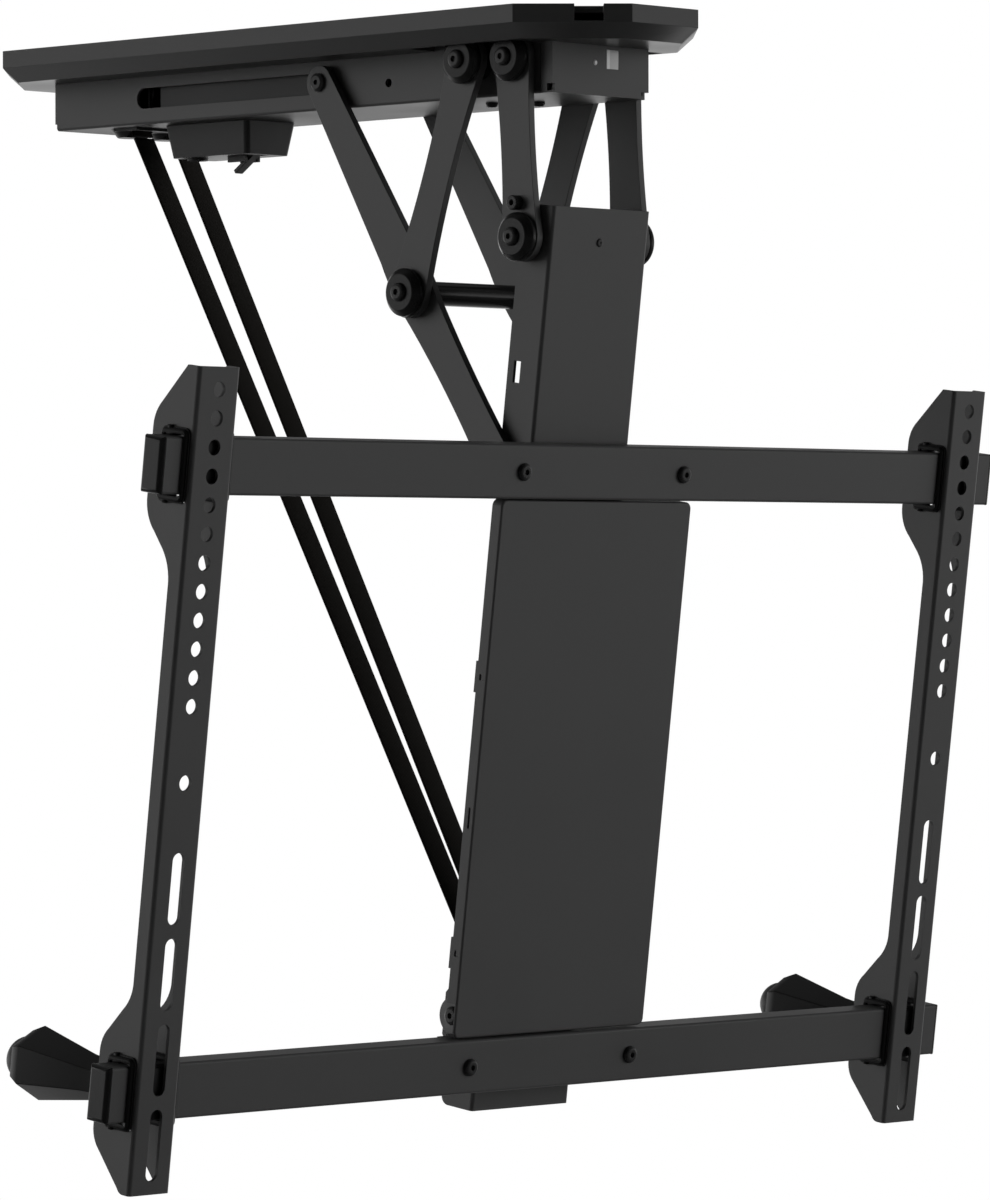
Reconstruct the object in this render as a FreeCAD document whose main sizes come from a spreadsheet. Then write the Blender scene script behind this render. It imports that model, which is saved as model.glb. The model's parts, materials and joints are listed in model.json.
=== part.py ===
import FreeCAD, Part
import math
import os
import Sketcher

# Motorized ceiling mount for a television, drawn lowered, in millimetres.
# X runs along the television rails, Y runs towards the back, Z is up, and the
# origin is the middle of the plate where it meets the ceiling.

document = FreeCAD.newDocument("ceiling_mount")
sheet = document.addObject("Spreadsheet::Sheet", "sizes")
Vector = FreeCAD.Vector


class Size:
    """A length or angle that carries the sheet formula it comes from."""

    def __init__(self, value, text):
        self.value = float(value)
        self.text = text

    def __add__(self, other):
        other = as_size(other)
        return Size(self.value + other.value, f"({self.text} + {other.text})")

    def __radd__(self, other):
        return as_size(other) + self

    def __sub__(self, other):
        other = as_size(other)
        return Size(self.value - other.value, f"({self.text} - {other.text})")

    def __rsub__(self, other):
        return as_size(other) - self

    def __mul__(self, other):
        other = as_size(other)
        return Size(self.value * other.value, f"({self.text} * {other.text})")

    def __rmul__(self, other):
        return as_size(other) * self

    def __truediv__(self, other):
        other = as_size(other)
        return Size(self.value / other.value, f"({self.text} / {other.text})")

    def __neg__(self):
        return Size(-self.value, f"(0 - {self.text})")


def as_size(number):
    if isinstance(number, Size):
        return number
    return Size(number, f"({float(number):.6f})" if number < 0 else f"{float(number):.6f}")


def cosine(angle):
    return Size(math.cos(math.radians(angle.value)), f"cos({angle.text})")


def sine(angle):
    return Size(math.sin(math.radians(angle.value)), f"sin({angle.text})")


def root(number):
    return Size(math.sqrt(number.value), f"sqrt({number.text})")


def heading(across, upward):
    """Angle of a direction, in degrees, as a plain number."""
    angle = math.degrees(math.atan2(upward.value, across.value))
    return Size(angle, f"(atan2({upward.text}; {across.text}) / 1 deg)")


class Sizes:
    pass


D = Sizes()
DRIVING_SIZES = [
    # ceiling plate and its cover tray
    ("plate_length", 511.0), ("plate_width", 145.0), ("corner_cut", 46.0),
    ("rim_height", 10.0), ("bevel_drop", 8.3), ("bevel_inset", 9.0),
    ("tray_wall", 2.5), ("base_thickness", 4.0), ("tray_gap", 0.5),
    ("lag_hole", 7.0), ("lag_span_across", 112.0), ("lag_span_along", 330.0),
    ("notch_width", 16.0), ("notch_height", 9.3), ("notch_shift", 9.0), ("notch_depth", 12.0),
    # drive box
    ("box_width", 77.4), ("box_front_margin", 48.6), ("box_rear_margin", 54.4), ("box_depth", 46.0),
    ("box_sheet", 2.0), ("box_flange", 14.0), ("front_cap_depth", 9.0), ("seam_gap", 0.4),
    ("corner_relief", 4.0),
    ("track_depth", 30.9), ("track_height", 12.0), ("track_lead", 6.4), ("track_rear_inset", 71.7),
    ("track_guide_height", 22.0), ("track_guide_depth", 4.2), ("track_guide_sheet", 1.5),
    ("track_guide_lead", 14.9), ("track_guide_inset", 13.5),
    ("side_hole", 5.0), ("side_hole_back", 71.8), ("side_hole_drop", 7.9),
    ("floor_screw_diameter", 3.4), ("floor_screw_head", 7.0), ("floor_screw_left", 6.6),
    ("floor_screw_right", 7.2), ("floor_screw_front", 54.4), ("floor_screw_rear", 77.4),
    ("lens_width", 9.7), ("lens_height", 10.8), ("lens_across", 9.6), ("lens_depth", 25.5),
    ("lamp_diameter", 3.0), ("lamp_across", -4.4), ("lamp_depth", 27.8),
    # pivots of the folding linkage, counted back from the box's front end
    ("front_pivot_back", 24.8), ("rear_pivot_back", 55.4), ("pivot_depth", 25.7),
    ("knee_back", 100.6), ("knee_depth", 152.5), ("track_pin_back", 176.8),
    ("panel_lead", 12.6), ("panel_depth", 214.6), ("panel_tilt", 7.4),
    ("pivot_back", 42.6), ("top_pivot_up", 85.2), ("low_pivot_down", 42.8),
    # links, axles and their hardware
    ("link_sheet", 4.5), ("washer_sheet", 2.0), ("side_play", 0.1), ("layer_gap", 1.0),
    ("axle_diameter", 10.0), ("turning_play", 0.05), ("washer_diameter", 22.0),
    ("cap_diameter", 27.0), ("cap_height", 6.5), ("cap_bevel", 3.2),
    ("screw_diameter", 5.0), ("head_diameter", 10.5), ("head_height", 2.6),
    ("link_end_radius", 13.5), ("link_waist", 11.2), ("short_link_waist", 10.0),
    ("track_end_radius", 9.7), ("knee_radius", 14.2), ("arm_waist", 10.7), ("arm_foot_radius", 12.0),
    ("track_pin_diameter", 5.0), ("cross_tube_diameter", 13.5),
    ("stop_pin_diameter", 8.2), ("stop_pin_length", 5.4), ("stop_pin_rise", 18.7), ("socket_diameter", 3.0),
    # column behind the television
    ("column_width", 77.4), ("column_front", 25.0), ("column_back", 49.0), ("column_sheet", 2.0),
    ("column_top", 104.0), ("column_bottom", 399.0), ("column_bend", 2.0),
    ("lock_screw_diameter", 3.0), ("lock_screw_head", 4.8), ("lock_screw_height", 0.8),
    ("column_slot_drop", 80.2), ("column_slot_length", 12.0), ("column_slot_width", 5.1), ("column_slot_inset", 4.5),
    ("anchor_back", 44.0), ("anchor_down", 348.5), ("anchor_ear", 4.0), ("anchor_washer", 21.5),
    # horizontal rails
    ("rail_half_length", 332.0), ("rail_height", 30.0), ("rail_depth", 15.0), ("rail_wall", 1.8),
    ("rail_front", 5.0), ("upper_rail_down", 40.4), ("lower_rail_down", 369.0),
    ("rail_cap_flange", 3.0), ("rail_cap_round", 2.6), ("rail_plug", 10.0), ("plug_gap", 0.1),
    ("bracket_half_width", 75.0), ("rail_screw_across", 64.0), ("rail_screw_diameter", 6.0),
    ("rail_screw_head", 9.8),
    # cover between the rails
    ("cover_half_width", 76.0), ("cover_face", 7.5), ("cover_skirt", 7.5), ("cover_wall", 1.5),
    ("cover_bend", 1.2),
    ("cover_gap", 0.8), ("cover_post", 9.0), ("clip_depth", 1.5), ("clip_length", 17.3),
    ("upper_clip_drop", 97.8), ("lower_clip_rise", 42.0), ("clip_slot", 3.3),
    ("side_slot_drop", 175.2), ("side_slot_length", 11.5), ("anchor_cut_rise", 14.3),
    # television rails
    ("tv_rail_spacing", 600.0), ("tv_rail_sheet", 2.0), ("tv_rail_bend", 2.2), ("tv_rail_outer", 15.0),
    ("tv_rail_inner", 14.0),
    ("tv_rail_top", 11.8), ("tv_rail_bottom", 422.0), ("flange_wide", 31.5), ("flange_narrow", 10.2),
    ("ear_half_height", 18.0), ("ear_slope_end", 64.0), ("lower_ear_slope_end", 57.0),
    ("hole_diameter", 8.3), ("hole_pitch", 15.0), ("lone_hole_down", 205.0),
    ("slot_length", 38.0), ("slot_pitch", 45.1), ("first_slot_down", 260.6),
    ("window_half_height", 19.0), ("window_front", 3.0), ("window_back", 22.5),
    ("glide_gap", 0.3), ("glide_length", 8.0),
    # bumper feet
    ("foot_plate", 2.5), ("foot_plate_height", 28.0), ("foot_neck_radius", 10.0), ("foot_middle_radius", 12.5),
    ("foot_wide_radius", 20.2), ("foot_middle", 51.0), ("foot_end", 92.0),
    ("foot_leg_inset", 0.5), ("foot_bevel_length", 9.4), ("foot_tip_radius", 16.0),
    ("foot_pad_radius", 12.8), ("foot_pad_height", 12.5),
    # lifting straps, drum and drive
    ("strap_width", 15.0), ("strap_sheet", 1.6), ("strap_top_across", 14.5), ("strap_low_across", 7.8),
    ("guide_inset", 49.6), ("guide_height", 5.0), ("guide_plate_sheet", 1.6), ("guide_plate_length", 20.0),
    ("guide_width", 56.0), ("guide_lip_diameter", 26.0), ("guide_lip_bevel", 4.0), ("guide_lip_back", 8.0),
    ("drum_inset", 52.5), ("drum_depth", 25.0), ("drum_core", 16.0), ("drum_wound", 28.0),
    ("drum_flange", 34.0), ("drum_flange_sheet", 1.2), ("drum_shaft", 8.0),
    ("spool_play", 0.5), ("strap_gap", 0.3),
    ("motor_diameter", 34.0), ("motor_length", 100.0), ("motor_front", -55.0),
    ("cradle_wall", 6.0), ("cradle_length", 14.0),
    ("board_back", 15.0), ("board_length", 50.0), ("board_width", 60.0), ("board_rise", 5.0),
    ("board_sheet", 1.6), ("board_part_height", 7.0),
    ("gearbox_width", 44.0), ("gearbox_length", 50.0), ("gearbox_height", 36.0), ("tongue_width", 10.0),
    # limit switch under the box
    ("switch_width", 40.0), ("switch_inset", 145.2), ("switch_length", 70.3), ("switch_drop", 19.0),
    ("switch_taper", 3.0), ("switch_corner", 3.0), ("lever_width", 6.0), ("lever_length", 22.0),
    ("lever_tilt", 33.0), ("lever_axis_back", 10.1), ("lever_axis_rise", 3.0), ("lever_sheet", 2.4),
    ("lever_pin_diameter", 1.5), ("lever_play", 1.0), ("lever_guard_length", 15.0), ("lever_guard_height", 3.5),
]

for row, (alias, value) in enumerate(DRIVING_SIZES, start=1):
    sheet.set(f"A{row}", alias.replace("_", " "))
    sheet.set(f"B{row}", str(value))
    sheet.setAlias(f"B{row}", alias)
    setattr(D, alias, Size(value, f"sizes.{alias}"))
document.recompute()

nodes = []
cuts = []
ZERO = as_size(0.0)
UP = Vector(0, 0, 1)
HEXAGON_FLAT = 0.866


# Places along the box, counted from its two ends

BOX_FRONT = D.box_front_margin - D.plate_length / 2
BOX_REAR = D.plate_length / 2 - D.box_rear_margin
FRONT_PIVOT = BOX_FRONT + D.front_pivot_back
REAR_PIVOT = BOX_FRONT + D.rear_pivot_back
KNEE_ALONG = BOX_FRONT + D.knee_back
TRACK_PIN_ALONG = BOX_FRONT + D.track_pin_back
PANEL_ALONG = BOX_FRONT - D.panel_lead
TRACK_FRONT = TRACK_PIN_ALONG - D.track_lead
TRACK_REAR = BOX_REAR - D.track_rear_inset
GUIDE_ALONG = BOX_REAR - D.guide_inset
DRUM_ALONG = BOX_REAR - D.drum_inset
SWITCH_FRONT = BOX_REAR - D.switch_inset
FLOOR_SCREWS = ((-D.floor_screw_left, BOX_FRONT + D.floor_screw_rear),
                (D.floor_screw_right, BOX_FRONT + D.floor_screw_front))


# Frames, which are written as placement formulas

def frame(x=0, y=0, z=0, turn=0, axis="1; 0; 0"):
    x, y, z, turn = as_size(x), as_size(y), as_size(z), as_size(turn)
    return (f"placement(vector({x.text}; {y.text}; {z.text}); "
            f"rotation(vector({axis}); {turn.text}))")


PANEL = frame(0, PANEL_ALONG, -D.panel_depth, D.panel_tilt)


def panel_frame(x=0, y=0, z=0, turn=0, axis="1; 0; 0"):
    """A frame measured from the first hole row of the television rails."""
    return PANEL + " * " + frame(x, y, z, turn, axis)


def panel_point(back, up):
    """Along and up position, seen from the ceiling, of a point in the panel frame."""
    along = PANEL_ALONG + back * cosine(D.panel_tilt) - up * sine(D.panel_tilt)
    height = back * sine(D.panel_tilt) + up * cosine(D.panel_tilt) - D.panel_depth
    return along, height


# Sketches and features

def new_body(name, where=None):
    body = document.addObject("PartDesign::Body", name + "_body")
    body.Label = name
    if where:
        body.setExpression("Placement", where)
    return body


def keep(thing, name):
    thing.Label = name
    nodes.append((name, thing))
    return thing


def sketch_on(body, role, offset=0):
    offset = as_size(offset)
    sketch = body.newObject("Sketcher::SketchObject", body.Name + "_sketch")
    plane = next(item for item in body.Origin.OriginFeatures if item.Role == role)
    sketch.AttachmentSupport = [(plane, "")]
    sketch.MapMode = "FlatFace"
    sketch.setExpression("AttachmentOffset.Base.z", offset.text)
    return sketch


def bind(sketch, constraints, formulas):
    first = sketch.ConstraintCount
    sketch.addConstraint(constraints)
    for index, formula in formulas:
        sketch.setExpression(f"Constraints[{first + index}]", formula)


def arc_through(start, middle, end):
    """An arc that turns leftwards, and which of its ends come first and last along the line."""
    centre = Part.Circle(start, middle, end).Center
    leftwards = (middle - start).cross(end - middle).z > 0
    if not leftwards:
        start, end = end, start
    first = math.atan2(start.y - centre.y, start.x - centre.x)
    last = math.atan2(end.y - centre.y, end.x - centre.x)
    if last <= first:
        last += 2 * math.pi
    full = Part.Circle(centre, Vector(0, 0, 1), (start - centre).Length)
    return Part.ArcOfCircle(full, first, last), (1, 2) if leftwards else (2, 1)


def outline(sketch, points):
    """A closed line; a point of four numbers starts an arc through its second pair."""
    points = [tuple(as_size(number) for number in point) for point in points]
    curves = []
    for index, point in enumerate(points):
        following = points[(index + 1) % len(points)]
        start = Vector(point[0].value, point[1].value, 0)
        end = Vector(following[0].value, following[1].value, 0)
        if len(point) == 4:
            arc, ends = arc_through(start, Vector(point[2].value, point[3].value, 0), end)
            geometry = sketch.addGeometry(arc, False)
        else:
            geometry = sketch.addGeometry(Part.LineSegment(start, end), False)
            ends = (1, 2)
        curves.append((geometry, ends))
    constraints = []
    formulas = []

    def hold(geometry, end, x, y):
        for kind, number, axis in (("DistanceX", x, -2), ("DistanceY", y, -1)):
            if number.text == ZERO.text:
                constraints.append(Sketcher.Constraint("PointOnObject", geometry, end, axis))
            else:
                formulas.append((len(constraints), number.text))
                constraints.append(Sketcher.Constraint(kind, -1, 1, geometry, end, number.value))

    for index, point in enumerate(points):
        geometry, ends = curves[index]
        following, following_ends = curves[(index + 1) % len(curves)]
        constraints.append(Sketcher.Constraint("Coincident", geometry, ends[1], following, following_ends[0]))
        hold(geometry, ends[0], point[0], point[1])
    for index, point in enumerate(points):
        if len(point) == 4:
            mark = sketch.addGeometry(Part.Point(Vector(point[2].value, point[3].value, 0)), True)
            hold(mark, 1, point[2], point[3])
            constraints.append(Sketcher.Constraint("PointOnObject", mark, 1, curves[index][0]))
    bind(sketch, constraints, formulas)


def circle(sketch, x, y, diameter):
    x, y, diameter = as_size(x), as_size(y), as_size(diameter)
    shape = Part.Circle(Vector(x.value, y.value, 0), Vector(0, 0, 1), diameter.value / 2)
    geometry = sketch.addGeometry(shape, False)
    bind(sketch,
         [Sketcher.Constraint("DistanceX", -1, 1, geometry, 3, x.value),
          Sketcher.Constraint("DistanceY", -1, 1, geometry, 3, y.value),
          Sketcher.Constraint("Diameter", geometry, diameter.value)],
         [(0, x.text), (1, y.text), (2, diameter.text)])


def rectangle(sketch, left, low, right, high):
    outline(sketch, [(left, low), (right, low), (right, high), (left, high)])


def slot(sketch, x, y, length, width, upright=False):
    """A round-ended slot centred on a point; its length is over all."""
    x, y, length, width = as_size(x), as_size(y), as_size(length), as_size(width)
    reach = (length - width) / 2
    half = width / 2
    tip = length / 2
    if upright:
        outline(sketch, [(x - half, y - reach, x, y - tip), (x + half, y - reach),
                         (x + half, y + reach, x, y + tip), (x - half, y + reach)])
    else:
        outline(sketch, [(x - reach, y + half, x - tip, y), (x - reach, y - half),
                         (x + reach, y - half, x + tip, y), (x + reach, y + half)])


def octagon(sketch, half_across, half_along, cut):
    outline(sketch, [(-half_across, cut - half_along), (cut - half_across, -half_along),
                     (half_across - cut, -half_along), (half_across, cut - half_along),
                     (half_across, half_along - cut), (half_across - cut, half_along),
                     (cut - half_across, half_along), (-half_across, half_along - cut)])


def pad(body, sketch, length):
    feature = body.newObject("PartDesign::Pad", body.Name + "_pad")
    feature.Profile = sketch
    feature.setExpression("Length", as_size(length).text)
    sketch.Visibility = False
    return feature


def pocket(body, sketch, depth=None, backward=False):
    """A cut of a given depth against the sketch's normal, or both ways through all."""
    feature = body.newObject("PartDesign::Pocket", body.Name + "_pocket")
    feature.Profile = sketch
    if depth is None:
        feature.Type = "ThroughAll"
        feature.Midplane = True
    else:
        feature.setExpression("Length", as_size(depth).text)
        feature.Reversed = backward
    cuts.append(feature)
    return feature


def loft(body, first, last):
    feature = body.newObject("PartDesign::AdditiveLoft", body.Name + "_loft")
    feature.Profile = first
    feature.Sections = [last]
    feature.Ruled = True
    return feature


def turn_profile(body, points):
    """Turn a half profile, drawn as distance along X and radius, about the X axis."""
    sketch = sketch_on(body, "XY_Plane")
    outline(sketch, points)
    feature = body.newObject("PartDesign::Revolution", body.Name + "_turned")
    feature.Profile = sketch
    feature.ReferenceAxis = (sketch, ["H_Axis"])
    feature.Angle = 360
    return feature


def turned(name, points, where=None):
    body = new_body(name, where)
    turn_profile(body, points)
    return body


def mirrored(thing, name):
    copy = document.addObject("Part::Mirroring", name + "_mirror")
    copy.Source = thing
    copy.Normal = Vector(1, 0, 0)
    copy.Base = Vector(0, 0, 0)
    return copy


def group(name, members):
    compound = document.addObject("Part::Compound", name + "_group")
    compound.Links = members
    return keep(compound, name)


def with_mirrors(things):
    return things + [mirrored(thing, thing.Label) for thing in things]


def both_sides(name, thing):
    return group(name, with_mirrors([thing]))


def round_edges(body, radius, chosen):
    """Fillet the edges of the body's tip that a test picks."""
    document.recompute()
    base = body.Tip
    names = [f"Edge{number}" for number, edge in enumerate(base.Shape.Edges, start=1) if chosen(edge)]
    feature = body.newObject("PartDesign::Fillet", body.Name + "_fillet")
    feature.Base = (base, names)
    feature.setExpression("Radius", as_size(radius).text)
    return feature


def runs_along(edge, direction):
    """Whether an edge is straight and parallel to a direction."""
    if len(edge.Vertexes) != 2:
        return False
    span = edge.Vertexes[1].Point - edge.Vertexes[0].Point
    straight = abs(span.Length - edge.Length) < 1e-6
    return straight and abs(abs(span.normalize().dot(direction)) - 1) < 1e-6


# Layers beside the box and the column, counted outward from their side walls

WALL = D.box_width / 2
INNER_LINK = WALL + D.washer_sheet + D.side_play
INNER_LINK_END = INNER_LINK + D.link_sheet
OUTER_LINK = INNER_LINK_END + D.layer_gap
OUTER_LINK_END = OUTER_LINK + D.link_sheet
AXLE_RADIUS = D.axle_diameter / 2
LINK_BORE = D.axle_diameter + D.turning_play * 2
TRAY_DROP = D.rim_height + D.bevel_drop


# Ceiling plate, tray and drive box

def ceiling_plate():
    inset = D.tray_wall + D.tray_gap
    body = new_body("ceiling_plate")
    sketch = sketch_on(body, "XY_Plane", -D.base_thickness)
    octagon(sketch, D.plate_width / 2 - inset, D.plate_length / 2 - inset, D.corner_cut - inset * 0.586)
    for across in (-D.lag_span_across / 2, D.lag_span_across / 2):
        for along in (-D.lag_span_along / 2, D.lag_span_along / 2):
            circle(sketch, across, along, D.lag_hole)
    pad(body, sketch, D.base_thickness)
    cable_notch(body, "plate_notch", D.tray_wall + D.notch_depth)
    return keep(body, "ceiling_plate")


def cable_notch(body, name, depth):
    """Open a notch in the middle of the front left corner, as deep as asked from the rim's face."""
    notch = body.newObject("PartDesign::SubtractiveBox", name)
    notch.setExpression("Length", D.notch_width.text)
    notch.setExpression("Width", (depth + 1).text)
    notch.setExpression("Height", (D.notch_height + 1).text)
    middle_across = D.corner_cut / 2 - D.plate_width / 2
    middle_along = D.corner_cut / 2 - D.plate_length / 2
    corner_frame = frame(middle_across, middle_along, -D.notch_height, -45, "0; 0; 1")
    notch.setExpression("Placement", corner_frame + " * " + frame(D.notch_shift - D.notch_width / 2, -1, 0))
    cuts.append(notch)


def cover_tray():
    body = new_body("cover_tray")
    half_across = D.plate_width / 2
    half_along = D.plate_length / 2
    rim = sketch_on(body, "XY_Plane", -D.rim_height)
    octagon(rim, half_across, half_along, D.corner_cut)
    pad(body, rim, D.rim_height)
    upper = sketch_on(body, "XY_Plane", -D.rim_height)
    octagon(upper, half_across, half_along, D.corner_cut)
    lower = sketch_on(body, "XY_Plane", -TRAY_DROP)
    low_cut = D.corner_cut - D.bevel_inset * 0.586
    octagon(lower, half_across - D.bevel_inset, half_along - D.bevel_inset, low_cut)
    loft(body, upper, lower)
    inset = D.tray_wall
    well = sketch_on(body, "XY_Plane", 0)
    octagon(well, half_across - inset, half_along - inset, D.corner_cut - inset * 0.586)
    pocket(body, well, D.rim_height - 1)
    inset = D.tray_wall + D.bevel_inset
    floor = sketch_on(body, "XY_Plane", 0)
    octagon(floor, half_across - inset, half_along - inset, D.corner_cut - inset * 0.586)
    pocket(body, floor, TRAY_DROP - D.tray_wall)
    near = WALL + D.tray_gap
    far = OUTER_LINK_END + D.cap_height + D.head_height + D.tray_gap
    front = BOX_FRONT - D.tray_gap
    back = BOX_REAR + D.tray_gap
    wide_front = FRONT_PIVOT - D.cap_diameter / 2 - 2
    wide_back = REAR_PIVOT + D.cap_diameter + 8
    opening = sketch_on(body, "XY_Plane", 0)
    outline(opening, [(-near, front), (near, front), (near, wide_front), (far, wide_front),
                      (far, wide_back), (near, wide_back), (near, back), (-near, back),
                      (-near, wide_back), (-far, wide_back), (-far, wide_front), (-near, wide_front)])
    pocket(body, opening)
    cable_notch(body, "tray_notch", D.tray_wall + 1)
    return keep(body, "cover_tray")


def drive_box():
    body = new_body("drive_box")
    wall = D.box_sheet
    top = -D.base_thickness
    low = -D.box_depth
    reach = WALL + D.box_flange
    start = BOX_FRONT + D.front_cap_depth + D.seam_gap
    section = sketch_on(body, "XZ_Plane", -BOX_REAR)
    outline(section, [(-reach, top), (-reach, top - wall), (-WALL, top - wall), (-WALL, low), (WALL, low),
                      (WALL, top - wall), (reach, top - wall), (reach, top), (WALL - wall, top),
                      (WALL - wall, low + wall), (wall - WALL, low + wall), (wall - WALL, top)])
    pad(body, section, BOX_REAR - start)
    sides = sketch_on(body, "YZ_Plane")
    slot(sides, (TRACK_FRONT + TRACK_REAR) / 2, -D.track_depth, TRACK_REAR - TRACK_FRONT, D.track_height)
    for along in (FRONT_PIVOT, REAR_PIVOT):
        circle(sides, along, -D.pivot_depth, D.axle_diameter)
    circle(sides, REAR_PIVOT + D.side_hole_back, -(D.pivot_depth + D.side_hole_drop), D.side_hole)
    corner = 4
    outline(sides, [(BOX_REAR + 1, low - 1), (BOX_REAR + 1, low + corner), (BOX_REAR - 1.5, low + corner),
                    (BOX_REAR - 1.5, low - 1)])
    pocket(body, sides)
    bottom = sketch_on(body, "XY_Plane", low - 1)
    strap_length = D.strap_sheet * 7
    rectangle(bottom, -D.guide_width / 2 + 6, GUIDE_ALONG - strap_length / 2,
              D.guide_width / 2 - 6, GUIDE_ALONG + strap_length / 2)
    for across, along in FLOOR_SCREWS:
        circle(bottom, across, along, D.floor_screw_diameter)
    pocket(body, bottom, wall + 2, True)
    round_edges(body, wall * 0.9, lambda edge: runs_along(edge, Vector(0, 1, 0))
                and abs(abs(edge.CenterOfMass.x) - WALL.value) < 1e-4
                and abs(edge.CenterOfMass.z - low.value) < 1e-4)
    return keep(body, "drive_box")


def box_front_cap():
    body = new_body("box_front_cap")
    depth = D.front_cap_depth
    block = sketch_on(body, "XY_Plane", -D.box_depth)
    rectangle(block, -WALL, BOX_FRONT, WALL, BOX_FRONT + depth)
    pad(body, block, D.box_depth - D.base_thickness)
    hollow = sketch_on(body, "XZ_Plane", -(BOX_FRONT + depth))
    rectangle(hollow, D.box_sheet - WALL, D.box_sheet - D.box_depth, WALL - D.box_sheet, 5 - D.base_thickness)
    pocket(body, hollow, depth - D.box_sheet, True)
    face = sketch_on(body, "XZ_Plane", -BOX_FRONT)
    lens_low = -(D.lens_depth + D.lens_height / 2)
    rectangle(face, D.lens_across - D.lens_width / 2, lens_low,
              D.lens_across + D.lens_width / 2, lens_low + D.lens_height)
    circle(face, D.lamp_across, -D.lamp_depth, D.lamp_diameter)
    pocket(body, face, D.box_sheet, False)
    trim = sketch_on(body, "XZ_Plane", -BOX_FRONT)
    rectangle(trim, WALL - 5.9, -D.box_depth - 1, WALL + 1, 3.8 - D.box_depth)
    pocket(body, trim, 3, False)
    relief = sketch_on(body, "YZ_Plane", -WALL)
    relief_low = D.box_sheet / 2 - D.box_depth
    rectangle(relief, BOX_FRONT - 1, relief_low, BOX_FRONT + D.corner_relief, relief_low + D.corner_relief)
    pocket(body, relief, D.box_sheet, True)
    return keep(body, "box_front_cap")


def front_fittings():
    lens_frame = frame(D.lens_across, BOX_FRONT, -D.lens_depth)
    lens = new_body("receiver_lens", lens_frame)
    face = sketch_on(lens, "XZ_Plane", -D.box_sheet)
    rectangle(face, -D.lens_width / 2, -D.lens_height / 2, D.lens_width / 2, D.lens_height / 2)
    pad(lens, face, D.box_sheet)
    keep(lens, "receiver_lens")
    lamp_frame = frame(D.lamp_across, BOX_FRONT, -D.lamp_depth, 90, "0; 0; 1")
    radius = D.lamp_diameter / 2
    lamp = turned("status_lamp", [(-0.6, 0), (-0.6, radius * 0.6), (0, radius), (D.box_sheet + 2, radius),
                                  (D.box_sheet + 2, 0)], lamp_frame)
    keep(lamp, "status_lamp")


def box_rear_plate():
    body = new_body("box_rear_plate")
    wall = D.box_sheet
    sketch = sketch_on(body, "XZ_Plane", -BOX_REAR)
    rectangle(sketch, wall - WALL, wall - D.box_depth, WALL - wall, -D.base_thickness)
    pad(body, sketch, wall)
    return keep(body, "box_rear_plate")


def track_guides():
    """Channels behind the box's long slots, in which the track pins' inner heads run."""
    body = new_body("track_guide")
    start = TRACK_PIN_ALONG - D.track_guide_lead
    end = TRACK_REAR - D.track_guide_inset
    half = D.track_guide_height / 2
    outer = WALL - D.box_sheet
    sheet_thick = D.track_guide_sheet
    inner = outer - D.track_guide_depth - sheet_thick
    section = sketch_on(body, "XZ_Plane", -end)
    low = -D.track_depth - half
    high = half - D.track_depth
    hollow = inner + sheet_thick
    outline(section, [(inner, low), (outer, low), (outer, low + sheet_thick), (hollow, low + sheet_thick),
                      (hollow, high - sheet_thick), (outer, high - sheet_thick), (outer, high), (inner, high)])
    pad(body, section, end - start)
    return both_sides("track_guides", body)


# Motor, gearbox and strap drum inside the box

def motor():
    radius = D.motor_diameter / 2
    end = D.motor_length
    where = frame(0, D.motor_front, -D.drum_depth, 90, "0; 0; 1")
    body = turned("motor", [(0, 0), (0, radius * 0.55), (2, radius * 0.55), (2, radius - 2), (4, radius),
                            (end, radius), (end, 0)], where)
    return keep(body, "motor")


def motor_cradle():
    body = new_body("motor_cradle")
    radius = D.motor_diameter / 2
    floor = D.box_sheet - D.box_depth
    sketch = sketch_on(body, "XZ_Plane", -(D.motor_front + D.motor_length * 0.2))
    middle = -D.drum_depth
    outer = radius + D.cradle_wall
    outline(sketch, [(-outer, floor), (outer, floor), (outer, middle), (radius, middle, 0, middle - radius),
                     (-radius, middle), (-outer, middle)])
    pad(body, sketch, D.cradle_length)
    return keep(body, "motor_cradle")


def gearbox():
    body = new_body("gearbox")
    start = D.motor_front + D.motor_length
    end = start + D.gearbox_length
    broad = D.gearbox_width / 2
    slim = D.tongue_width / 2
    corner = D.gearbox_width * 0.14
    rear = DRUM_ALONG + D.drum_flange / 2
    sketch = sketch_on(body, "XY_Plane", D.box_sheet - D.box_depth)
    outline(sketch, [(-broad, start), (broad, start), (broad, end - corner), (broad - corner, end), (slim, end),
                     (slim, rear), (-slim, rear), (-slim, end), (corner - broad, end), (-broad, end - corner)])
    pad(body, sketch, D.gearbox_height)
    bore = sketch_on(body, "YZ_Plane")
    circle(bore, DRUM_ALONG, -D.drum_depth, D.drum_shaft + D.turning_play * 2)
    pocket(body, bore)
    return keep(body, "gearbox")


SPOOL_INNER = D.strap_top_across - D.strap_width / 2 - D.spool_play - D.drum_flange_sheet
SPOOL_OUTER = D.strap_top_across + D.strap_width / 2 + D.spool_play + D.drum_flange_sheet
BEARING_INNER = SPOOL_OUTER + D.spool_play


def drum_bearings():
    body = new_body("drum_bearing")
    half = D.drum_flange / 2
    sketch = sketch_on(body, "YZ_Plane", BEARING_INNER)
    outline(sketch, [(DRUM_ALONG - half, D.box_sheet - D.box_depth), (DRUM_ALONG + half, D.box_sheet - D.box_depth),
                     (DRUM_ALONG + half, 1 - D.drum_depth), (DRUM_ALONG + half / 2, half / 2 + 6 - D.drum_depth),
                     (DRUM_ALONG - half / 2, half / 2 + 6 - D.drum_depth), (DRUM_ALONG - half, 1 - D.drum_depth)])
    circle(sketch, DRUM_ALONG, -D.drum_depth, D.drum_shaft + D.turning_play * 2)
    pad(body, sketch, 3)
    return both_sides("drum_bearings", body)


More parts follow.
